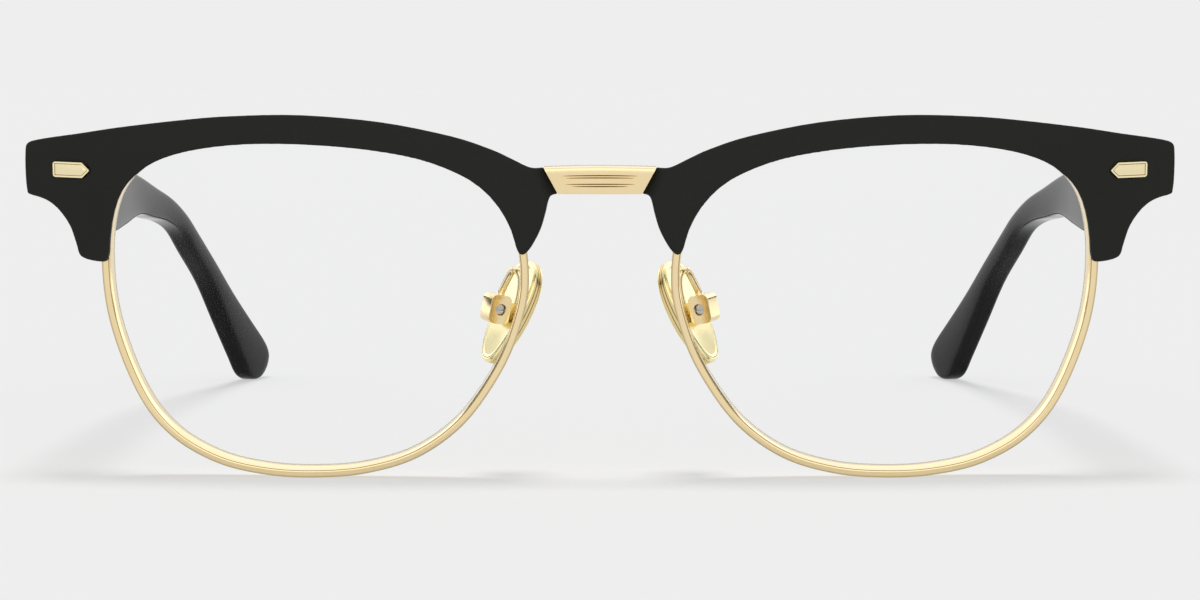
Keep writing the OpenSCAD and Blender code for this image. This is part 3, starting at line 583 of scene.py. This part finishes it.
def bridge_section(u):
    """Points round the bar: a depth behind its front, a height, how deep a line is engraved."""
    half, corner = bridge_h / 2, bridge_corner
    corner_mid = 0.3 * corner
    quarter = (pi / 8, pi / 4, 3 * pi / 8)
    points = [(corner * (1 - sin(a)), half - corner * (1 - cos(a)), 0) for a in (0, *quarter)]
    points.append((0, half - corner, 0))
    rises = [bead + step for bead in bead_rises for step in (bead_half, -bead_half)]
    for rise, end in zip(rises, line_ends, strict=True):
        fade = max(0, 1 - (u / end) ** 2) ** line_fade
        points += [(0, rise + line_half * fade, 0), (0, rise, fade)]
        points.append((0, rise - line_half * fade - line_least, 0))
    points.append((0, -half + corner, 0))
    turns = (*quarter, pi / 2)
    points += [(corner * (1 - cos(a)), -half + corner * (1 - sin(a)), 0) for a in turns]
    points += [(bridge_t - corner, -half, 0), (bridge_t - corner_mid, -half + corner_mid, 0)]
    points += [(bridge_t, -half + corner, 0), (bridge_t, half - corner, 0)]
    points += [(bridge_t - corner_mid, half - corner_mid, 0), (bridge_t - corner, half, 0)]
    return points


# Shade is painted into each engraved line's colour, as strongly as the line is cut deep.
bridge_rows, bridge_painted_shades = [], []
for i in range(-bridge_steps, bridge_steps + 1):
    share = i / bridge_steps
    row, painted_shade = [], []
    for depth, rise, engraved in bridge_section(share * lug_top[0]):
        lug_share = (bridge_rise + rise - lug_bottom[1]) / (lug_top[1] - lug_bottom[1])
        u = share * (lug_bottom[0] + lug_share * (lug_top[0] - lug_bottom[0]) - seat_gap)
        lowered = bridge_arch * (rise / bridge_h + 0.5) * share * share
        depth += bow(u) + engraved * bridge_line_depth
        row.append(placed(u, bridge_front + depth, bridge_rise + rise - lowered))
        painted_shade.append(engraved)
    bridge_rows.append(row)
    bridge_painted_shades.append(painted_shade)
bridge = rolled("bridge_bar", bridge_rows, painted_shades=bridge_painted_shades)
smoothed(bridge, sharp_angle=35)
finish(bridge, rim_gold)
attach(bridge, "front")
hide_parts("bridge")

tongue_rows = []
for step in range(tongue_steps + 1):
    u = tongue_in + (tongue_out - tongue_in) * step / tongue_steps
    into_round = max(0, step - tongue_round_from) / tongue_round_steps
    half = tongue_h / 2 * sqrt(1 - into_round**2)
    back = bridge_front + bow(u) + bridge_t
    tongue_rows.append([
        placed(u, back - depth * tongue_t, bridge_rise + half * rise)
        for depth, rise in tongue_section
    ])
tongue = rolled("bridge_tongue_left", tongue_rows)
smoothed(tongue, sharp_angle=35)
finish(tongue, rim_gold)
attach(tongue, "front")
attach(mirrored(tongue, "bridge_tongue_right"), "front")


# Brows
# Matte black acetate, milled from sheet to the rim's curve and tumbled so that its edges are
# soft. Each is screwed to the bridge's tongue from behind.
brow_voxel = 0.17 * MM
brow_soften_passes, brow_soften_share = 2, 0.5
mottle_scale, mottle_detail, acetate_grain_detail = 90, 5, 3
acetate_polish_least, acetate_polish_most = 0.85, 1.15
acetate_ior = 1.48
acetate_grain_depth = 0.02 * MM


def acetate(name, colour, lighter, roughness, specular, grain, bump_strength):
    """Black acetate with a faint mottle."""
    material = bpy.data.materials.new(name)
    material.use_nodes = True
    nodes, links = material.node_tree.nodes, material.node_tree.links
    shader = nodes["Principled BSDF"]
    shader.inputs["Specular IOR Level"].default_value = specular
    shader.inputs["IOR"].default_value = acetate_ior
    mottle = noise(material, mottle_scale, mottle_detail)
    tint = tinted(material, mottle, colour, lighter)
    links.new(tint.outputs["Result"], shader.inputs["Base Color"])
    polish = (roughness * acetate_polish_least, roughness * acetate_polish_most)
    fine = noise(material, grain, acetate_grain_detail)
    grained(material, fine, polish, bump_strength, acetate_grain_depth)
    return material


brow_black = acetate(
    "brow_matte_black", colour=(0.0095, 0.01, 0.0083, 1), lighter=(0.0135, 0.014, 0.0115, 1),
    roughness=0.6, specular=0.22, grain=2600, bump_strength=0.25,
)
for side in ("left", "right"):
    brow = cad_copy("brow_" + side, "brow_" + side + "_front")
    remesh = brow.modifiers.new("even_skin", "REMESH")
    remesh.mode = "VOXEL"
    remesh.voxel_size = brow_voxel
    tumble = brow.modifiers.new("tumbled_edges", "SMOOTH")
    tumble.factor = brow_soften_share
    tumble.iterations = brow_soften_passes
    apply_modifiers(brow)
    smoothed(brow, sharp_angle=60)
    finish(brow, brow_black)
    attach(brow, "front")
    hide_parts("brow_" + side)
    fitted(
        "brow_screw_" + side, "brow_fixing_screw_" + side,
        small_screw_edge, screw_steel, "front",
    )


# Plaques
# A gold arrowhead let into each brow's outer end, pointing to the bridge. Inside its polished
# border a fine groove runs round a field that is faceted like a roof.
plaque_l, plaque_h, plaque_point = 4.9, 1.9, 1
plaque_round = 0.34
plaque_point_round = plaque_round / 3
plaque_t, plaque_proud, brow_proud = 0.75, 0.35, 1.3
plaque_mid, plaque_rise = 64.9, 16.55
plaque_turn = asin((plaque_mid - curve_cx) / (front_curve_r + brow_proud))
plaque_face = face_depth(plaque_mid, plaque_rise, brow_proud)
border_w, plaque_groove_w, plaque_groove_depth = 0.2, 0.1, 0.1
roof_rise, ridge_half_w = 0.1, 0.02
plaque_edge, field_shade, groove_floor_share = 0.02, 0.1, 0.6
polished_from = radians(12)
near, nearly_all = 0.01, 0.9


def framed(origin, x_way, y_way, z_way):
    """A frame within the front's own, as a matrix from millimetres in it to standing metres."""
    axes = Matrix((x_way, y_way, z_way)).transposed().to_4x4()
    return stand @ Matrix.Scale(MM, 4) @ Matrix.Translation(origin) @ axes


def select_faces(piece, wanted):
    """In edit mode, selects only the faces that a test picks."""
    bpy.ops.mesh.select_mode(type="FACE")
    bpy.ops.mesh.select_all(action="DESELECT")
    bpy.ops.object.mode_set(mode="OBJECT")
    for face in piece.data.polygons:
        face.select = wanted(face)
    bpy.ops.object.mode_set(mode="EDIT")


def select_edges(piece, wanted):
    """In edit mode, selects only the edges whose two ends pass a test."""
    bpy.ops.mesh.select_mode(type="EDGE")
    bpy.ops.mesh.select_all(action="DESELECT")
    bpy.ops.object.mode_set(mode="OBJECT")
    for edge in piece.data.edges:
        a, b = (piece.data.vertices[i].co for i in edge.vertices)
        edge.select = wanted(a, b)
    bpy.ops.object.mode_set(mode="EDIT")


def polished(piece, edge, place):
    """Rounds a piece's edges a little, keeps its flats flat and puts it in its place."""
    tumble = piece.modifiers.new("tumbled_edges", "BEVEL")
    tumble.width = edge
    tumble.segments = edge_segments
    tumble.limit_method = "ANGLE"
    tumble.angle_limit = polished_from
    smoothed(piece, sharp_angle=60)
    piece.modifiers.new("flat_faces", "WEIGHTED_NORMAL")
    apply_modifiers(piece)
    piece.matrix_world = place
    bpy.ops.object.transform_apply(location=True, rotation=True, scale=True)


bpy.ops.object.select_all(action="DESELECT")
bpy.ops.mesh.primitive_cube_add(
    size=1, location=(0, 0, plaque_proud - plaque_t / 2), scale=(plaque_l, plaque_h, plaque_t)
)
plaque = bpy.context.object
plaque.name = plaque.data.name = "plaque_left_arrow"
bpy.ops.object.transform_apply(location=True, rotation=True, scale=True)
bpy.ops.object.mode_set(mode="EDIT")
for side_way in (1, -1):
    bpy.ops.mesh.select_all(action="SELECT")
    bpy.ops.mesh.bisect(
        plane_co=(-plaque_l / 2, 0, 0), plane_no=(-plaque_h / 2, side_way * plaque_point, 0),
        use_fill=True, clear_outer=True,
    )
select_faces(plaque, lambda face: face.normal.z > nearly_all)
bpy.ops.mesh.inset(thickness=border_w, depth=0)
bpy.ops.mesh.inset(thickness=plaque_groove_w / 2, depth=-plaque_groove_depth)
bpy.ops.mesh.inset(thickness=plaque_groove_w / 2, depth=plaque_groove_depth / 2)
bpy.ops.mesh.inset(
    thickness=plaque_h / 2 - border_w - plaque_groove_w - ridge_half_w, depth=roof_rise
)
select_edges(plaque, lambda a, b: abs(a.z - b.z) > nearly_all * plaque_t and a.x > 0)
bpy.ops.mesh.bevel(offset=plaque_round, segments=5)
select_edges(plaque, lambda a, b: abs(a.z - b.z) > nearly_all * plaque_t and a.x < 0)
bpy.ops.mesh.bevel(offset=plaque_point_round, segments=3)
bpy.ops.object.mode_set(mode="OBJECT")
# Shade is painted fully into the groove and faintly over the roofed field inside it.
painted_shade = plaque.data.attributes.new("painted_shade", "FLOAT", "POINT")
for mark, corner in zip(painted_shade.data, plaque.data.vertices, strict=True):
    across = min(plaque_h / 2 - abs(corner.co.y), plaque_l / 2 - corner.co.x)
    along_point = (corner.co.x + plaque_l / 2) * plaque_h / 2 - abs(corner.co.y) * plaque_point
    across = min(across, along_point / sqrt(plaque_h**2 / 4 + plaque_point**2))
    if corner.co.z > 0 and across > border_w + near:
        in_groove = corner.co.z < plaque_proud - groove_floor_share * plaque_groove_depth
        mark.value = 1 if in_groove else field_shade
outwards_x, outwards_y = cos(plaque_turn), sin(plaque_turn)
plaque_place = framed(
    (plaque_mid, plaque_face, plaque_rise),
    (outwards_x, outwards_y, 0), (0, 0, 1), (outwards_y, -outwards_x, 0),
)
polished(plaque, plaque_edge, plaque_place)
plaque_gold = metal(
    "plaque_gold", colour=(1, 0.89, 0.58, 1), deep_colour=(0.98, 0.85, 0.52, 1),
    painted_shade_colour=(0.3, 0.2, 0.09, 1), roughness=0.22, brushing=0.15, grain=2400,
)
finish(plaque, plaque_gold)
other_plaque = mirrored(plaque, "plaque_right_arrow")
for piece, side in ((plaque, "left"), (other_plaque, "right")):
    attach(piece, "front")
    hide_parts("plaque_" + side)


# Pad arms
# Gold wire. A short leg is brazed along the back of the rim, then the wire bends over
# backwards and drops to the top of the pad's box.
pad_splay, pad_lean, box_lean = radians(27), radians(27), radians(12)
pad_out, pad_set_back, pad_drop = 10.9, 8.8, 2
arm_d = 0.9
# Points of the opening's outline behind which the leg lies
arm_seat_points = (92, 94, 96)
# Shares of the wire's thickness from the leg's end, then from the wire's own end
arm_bend_shares = ((0.4, 0.5, 1), (1.15, 1.5, 1))
arm_fall_shares = ((-0.8, -0.7, 1.9), (-0.25, -0.1, 0.7))
arm_steps, arm_sides = 8, 20
arm_start_share, arm_start_gain = 0.45, 0.3
arm_side_hint = Vector((1, 1, 0))
arm_foot_swell, arm_foot_steps = 0.28, 4
pad_t = 2
box_in, box_l, box_h, box_front = 1.42, 2.8, 3.6, 2.1
box_chamfer, box_in_chamfer = 0.8, 0.45
pad_screw_z = 0.4


def pad_place(x, y, z, lean):
    """A place in the front's frame from one in a frame that leans as the pad or its box does."""
    across = x * cos(lean) - z * sin(lean)
    return Vector((
        pad_out + across * cos(pad_splay) + y * sin(pad_splay),
        pad_set_back - across * sin(pad_splay) + y * cos(pad_splay),
        -pad_drop + x * sin(lean) + z * cos(lean),
    ))


arm_leg = []
for p in (opening[i] for i in arm_seat_points):
    arm_leg.append(Vector((p.x, face_depth(p.x, p.y, -rim_depth) + seat_gap + arm_d / 2, p.y)))
box_top_middle = box_in + (box_in_chamfer + box_l - box_chamfer) / 2
arm_end = pad_place(box_top_middle, -box_front / 2, pad_screw_z + box_h / 2, box_lean)
arm_bend = [arm_leg[-1] + arm_d * Vector(shares) for shares in arm_bend_shares]
arm_fall = [arm_end + arm_d * Vector(shares) for shares in arm_fall_shares]
arm_run = smooth_run([*arm_leg, *arm_bend, *arm_fall, arm_end], arm_steps)
arm_rows = []
for i, middle in enumerate(arm_run):
    along = (arm_run[min(i + 1, len(arm_run) - 1)] - arm_run[max(i - 1, 0)]).normalized()
    side_way = along.cross(arm_side_hint).normalized()
    up = side_way.cross(along)
    from_end = len(arm_run) - 1 - i
    swell = arm_foot_swell * max(0, 1 - from_end / arm_foot_steps) ** 2
    radius = arm_d / 2 * (min(1, arm_start_share + arm_start_gain * i) + swell)
    turns = [2 * pi * k / arm_sides for k in range(arm_sides)]
    arm_rows.append([placed(*(middle + radius * (cos(a) * side_way + sin(a) * up))) for a in turns])
arm = rolled("pad_arm_left_wire", arm_rows)
smoothed(arm, sharp_angle=40)
finish(arm, rim_gold)
other_arm = mirrored(arm, "pad_arm_right_wire")
for piece, side in ((arm, "left"), (other_arm, "right")):
    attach(piece, "front")
    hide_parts("pad_arm_" + side)


# Pad boxes
# A small cast box, its outer end rounded, with a slot towards the pad for the pad's tab. The
# pad's screw goes through it from the front, its head sunk.
box_back, box_round, box_crisp = 0.95, 0.75, 0.05
box_back_round = 0.8 * box_round
slot_w, slot_l, slot_h, slot_mid, slot_cutter_past = 1.1, 2.45, 2.5, 0.55, 1
pad_screw_in, screw_hole_r, screw_hole_depth, screw_shank_r = 1.3, 0.72, 0.84, 0.42


def cut(piece, cutter):
    """Takes a cutter's shape out of a piece, as milling or drilling would."""
    milling = piece.modifiers.new("milled", "BOOLEAN")
    milling.operation = "DIFFERENCE"
    milling.solver = "EXACT"
    milling.object = cutter
    apply_modifiers(piece)
    bpy.data.objects.remove(cutter)


bpy.ops.object.select_all(action="DESELECT")
bpy.ops.mesh.primitive_cube_add(
    size=1, location=(box_l / 2, (box_back - box_front) / 2, 0),
    scale=(box_l, box_front + box_back, box_h),
)
box = bpy.context.object
box.name = box.data.name = "pad_box_left_cast"
bpy.ops.object.transform_apply(location=True, rotation=True, scale=True)
bpy.ops.object.mode_set(mode="EDIT")
select_edges(box, lambda a, b: min(a.x, b.x) > box_l - near and abs(a.z - b.z) < near)
bpy.ops.mesh.bevel(offset=box_round, segments=5)
select_edges(box, lambda a, b: max(a.x, b.x) < near and abs(a.z - b.z) < near)
bpy.ops.mesh.bevel(offset=box_in_chamfer, segments=1)
select_edges(box, lambda a, b: min(a.y, b.y) > nearly_all * box_back and max(a.x, b.x) > near)
bpy.ops.mesh.bevel(offset=box_back_round, segments=5)
bpy.ops.object.mode_set(mode="OBJECT")
bpy.ops.mesh.primitive_cube_add(
    size=1, location=(slot_l / 2 - slot_cutter_past / 2, -slot_mid, 0),
    scale=(slot_l + slot_cutter_past, slot_w, slot_h),
)
cut(box, bpy.context.object)
for sides, radius, depth, ahead in (
    (40, screw_hole_r, 2 * screw_hole_depth, box_front), (32, screw_shank_r, 2 * box_h, 0)
):
    bpy.ops.mesh.primitive_cylinder_add(
        vertices=sides, radius=radius, depth=depth, location=(pad_screw_in, -ahead, 0),
        rotation=(pi / 2, 0, 0),
    )
    cut(box, bpy.context.object)
box_place = framed(
    pad_place(box_in, 0, pad_screw_z, box_lean),
    pad_place(1, 0, 0, box_lean) - pad_place(0, 0, 0, box_lean),
    pad_place(0, 1, 0, box_lean) - pad_place(0, 0, 0, box_lean),
    pad_place(0, 0, 1, box_lean) - pad_place(0, 0, 0, box_lean),
)
polished(box, box_crisp, box_place)
finish(box, small_gold)
other_box = mirrored(box, "pad_box_right_cast")
for piece, side in ((box, "left"), (other_box, "right")):
    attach(piece, "front")
    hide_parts("pad_box_" + side)
    fitted(
        "pad_screw_" + side, "pad_box_screw_" + side,
        small_screw_edge, screw_steel, "front",
    )


# Nose pads
# A plate of light metal in satin gold: flat towards the box, domed towards the nose, with two
# fine lines turned into its edge. A tab let into its back turns in the box.
pad_l, pad_w, pad_dome_r = 13.7, 7.5, 30
pad_round_share, pad_top_wider_share = 0.83, 0.2
pad_sides = 72
pad_turns = [2 * pi * k / pad_sides for k in range(pad_sides)]
# Shade is painted over the pad's edge wall, and more strongly into its two turned lines.
wall_shade, line_shade = 0.35, 6
# Rows of the flat face, from its middle out: how far inwards, share of the oval, how far sunk
pad_face_rows = (
    (0.9, 0.1, 0.06), (0.9, 0.6, 0.06), (0.9, 1, 0.06), (0.78, 1, 0.05), (0.66, 1, 0),
    (0.34, 1, 0), (0.2, 1, 0.06), (0.06, 1, 0.22),
)
# Rows of the edge: share of the way down it, how far inwards
pad_edge_rows = (
    (0.14, 0), (0.34, 0), (0.4, 0.1), (0.46, 0), (0.66, 0), (0.72, 0.1), (0.78, 0), (1, 0),
)
pad_edge_top, pad_edge_bottom = 0.22, 0.2
# Rows of the dome, from its rim in: how far inwards, share of the oval, how far sunk
pad_dome_rows = (
    (0.06, 1, 0.08), (0.2, 1, 0), (0.5, 1, 0), (0.5, 0.8, 0), (0.5, 0.6, 0), (0.5, 0.4, 0),
    (0.5, 0.2, 0),
)


def pad_loop(inset, shrunk):
    """The pad's oval, wider at its top, moved inwards and shrunk."""
    loop = []
    for a in pad_turns:
        across = abs(cos(a)) ** pad_round_share * (1 if cos(a) > 0 else -1)
        along = abs(sin(a)) ** pad_round_share * (1 if sin(a) > 0 else -1)
        y = across * (1 + pad_top_wider_share * along) * (pad_w / 2 - inset) * shrunk
        loop.append((y, along * (pad_l / 2 - inset) * shrunk))
    return loop


def dome_depth(y, z):
    """How far the pad's domed face has fallen away from its middle."""
    return pad_dome_r - sqrt(pad_dome_r**2 - y * y - z * z)


pad_rows, pad_painted_shades = [], []
face_x, dome_x = pad_t / 2, -pad_t / 2
for inset, shrunk, drop in pad_face_rows:
    pad_rows.append([(face_x - drop, y, z) for y, z in pad_loop(inset, shrunk)])
    pad_painted_shades.append([0] * pad_sides)
for down, inset in pad_edge_rows:
    edge_row = []
    for y, z in pad_loop(inset, 1):
        top, bottom = face_x - pad_edge_top, dome_x + dome_depth(y, z) + pad_edge_bottom
        edge_row.append((top + (bottom - top) * down, y, z))
    pad_rows.append(edge_row)
    pad_painted_shades.append([wall_shade + line_shade * inset] * pad_sides)
for inset, shrunk, lift in pad_dome_rows:
    dome_row = pad_loop(inset, shrunk)
    pad_rows.append([(dome_x + dome_depth(y, z) + lift, y, z) for y, z in dome_row])
    pad_painted_shades.append([0] * pad_sides)
pad_gold = metal(
    "pad_gold", colour=(1, 0.89, 0.52, 1), deep_colour=(0.97, 0.86, 0.49, 1),
    painted_shade_colour=(0.45, 0.29, 0.07, 1), roughness=0.24, brushing=0.1, grain=1500,
)
pad_rings = [[placed(*pad_place(*place, pad_lean)) for place in row] for row in pad_rows]
pad = rolled("nose_pad_left_plate", pad_rings, painted_shades=pad_painted_shades)
smoothed(pad, sharp_angle=45)
finish(pad, pad_gold)
other_pad = mirrored(pad, "nose_pad_right_plate")
for piece, side in ((pad, "left"), (other_pad, "right")):
    body = "nose_pad_" + side + "_body"
    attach(piece, body)
    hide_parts("nose_pad_" + side)
    fitted(
        "pad_insert_" + side, "pad_tab_" + side,
        small_screw_edge, small_gold, body,
    )


# Hinges
# Five barrels of brass, three on a leaf whose anchor is sunk in the endpiece and two on a leaf
# that is riveted to the temple, with a slotted steel screw down their middle.
hinge_edge = 0.1 * MM
for side in ("left", "right"):
    temple_body = "temple_" + side + "_body"
    fitted(
        "front_hinge_" + side, "hinge_front_leaf_" + side,
        hinge_edge, small_gold, "front",
    )
    fitted(
        "hinge_screw_" + side, "hinge_pin_" + side,
        small_screw_edge, screw_steel, "front",
    )
    fitted(
        "temple_hinge_" + side, "hinge_temple_leaf_" + side,
        hinge_edge, small_gold, temple_body,
    )
    fitted(
        "hinge_rivets_" + side, "temple_rivets_" + side,
        small_screw_edge, small_gold, temple_body,
    )


# Temples
# Polished black acetate round a steel core wire. Flat-sided at the hinge, it is worked rounder
# towards the tip, which bends down and in behind the ear.
joint_w, temple_reach, temple_top, temple_fall = 11.68, 131, 19.9, 55.2
temple_in, temple_t, temple_tip_t = 65.8, 3.8, 2.8
toe_in = radians(0.46)
ear_curve_start, ear_curve_r = 48, 316
temple_top_shares = [
    (0, 0.009), (0.056, 0.033), (0.140, 0.072), (0.255, 0.129), (0.362, 0.185),
    (0.469, 0.243), (0.553, 0.298), (0.629, 0.352), (0.690, 0.414), (0.740, 0.484),
    (0.809, 0.592), (0.880, 0.714), (0.943, 0.821), (0.980, 0.886), (0.995, 0.922),
    (1.000, 0.951), (0.993, 0.980),
]
temple_bottom_shares = [
    (0, 0.143), (0.051, 0.168), (0.128, 0.226), (0.247, 0.308), (0.354, 0.330),
    (0.461, 0.341), (0.543, 0.377), (0.615, 0.413), (0.675, 0.462), (0.727, 0.542),
    (0.794, 0.655), (0.8535, 0.7935), (0.902, 0.911), (0.928, 0.974), (0.955, 1.000),
    (0.9765, 0.998), (0.993, 0.980),
]
edge_round_at_joint, edge_round_at_tip = 0.3, 0.7
crown_at_joint, crown_at_tip = 0.05, 0.3
round_growth, crown_growth = 1.2, 1.5
corner_most, crown_level = 0.48, 0.6
temple_steps, side_steps, corner_steps = 6, 4, 5
tip_round_points, tip_least = 2.2, 0.3
joint_bevel, joint_face_share = 0.3, 0.88
joint_bevel_back = Vector((0.3, -0.05))


def temple_inner(w):
    """Inner face of the temple at a depth behind the middle of the lens."""
    back = w - joint_w
    past_ear = max(back - ear_curve_start, 0)
    return temple_in - max(back, 0) * tan(toe_in) - past_ear**2 / (2 * ear_curve_r)


def temple_section(top, bottom, share, fullness):
    """Points round the temple between its two edges, with crowned sides and rounded corners."""
    height = (top - bottom).length
    middle = (top + bottom) / 2
    full = temple_t + (temple_tip_t - temple_t) * share
    thick = full * fullness
    rounder, fuller = min(1, round_growth * share), min(1, crown_growth * share)
    corner = edge_round_at_joint + (edge_round_at_tip - edge_round_at_joint) * rounder
    corner = min(corner, corner_most * thick, corner_most * height)
    crown = fullness * (crown_at_joint + (crown_at_tip - crown_at_joint) * fuller)
    up = (top - bottom).normalized() if height > near else Vector((0, 1))
    straight = height / 2 - corner
    half_side = [(thick / 2, straight * k / side_steps) for k in range(side_steps)]
    for k in range(corner_steps + 1):
        angle = pi / 2 * k / corner_steps
        half_side.append((thick / 2 - corner * (1 - cos(angle)), straight + corner * sin(angle)))
    ring = [*half_side, *[(-across, rise) for across, rise in reversed(half_side)]]
    ring += [(-across, -rise) for across, rise in half_side[1:]]
    ring += [(across, -rise) for across, rise in reversed(half_side[1:])]
    points = []
    for across, rise in ring:
        place = middle + up * rise
        proud = crown * (crown_level - (2 * rise / height) ** 2) * (1 if across > 0 else -1)
        points.append(placed(temple_inner(place.x) + full / 2 + across + proud, place.x, place.y))
    return points


edges = []
for shares in (temple_top_shares, temple_bottom_shares):
    places = [(joint_w + s * temple_reach, temple_top - drop * temple_fall) for s, drop in shares]
    edges.append(smooth_run(places, temple_steps))
temple_rows = []
last = len(edges[0]) - 1
for i, (top, bottom) in enumerate(zip(*edges, strict=True)):
    share = ((top + bottom).x / 2 - joint_w) / temple_reach
    near_tip = max(0, 1 - (last - i) / (tip_round_points * temple_steps))
    fullness = max(tip_least, sqrt(1 - near_tip**2))
    if i == 0:
        shy = (top - bottom).normalized() * joint_bevel
        temple_rows.append(temple_section(top - shy, bottom + shy, share, joint_face_share))
        back_top, back_bottom = top + joint_bevel_back, bottom + joint_bevel_back
        temple_rows.append(temple_section(back_top, back_bottom, share, 1))
    elif i < last:
        temple_rows.append(temple_section(top, bottom, share, fullness))
temple_black = acetate(
    "temple_gloss_black", colour=(0.008, 0.008, 0.008, 1), lighter=(0.011, 0.011, 0.011, 1),
    roughness=0.08, specular=0.036, grain=700, bump_strength=0.01,
)
temple = rolled("temple_left_arm", temple_rows)
smoothed(temple, sharp_angle=50)
finish(temple, temple_black)
other_temple = mirrored(temple, "temple_right_arm")
for piece, side in ((temple, "left"), (other_temple, "right")):
    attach(piece, "temple_" + side + "_body")
    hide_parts("temple_" + side)
    finish(frame["nodes"]["temple_core_" + side], screw_steel)
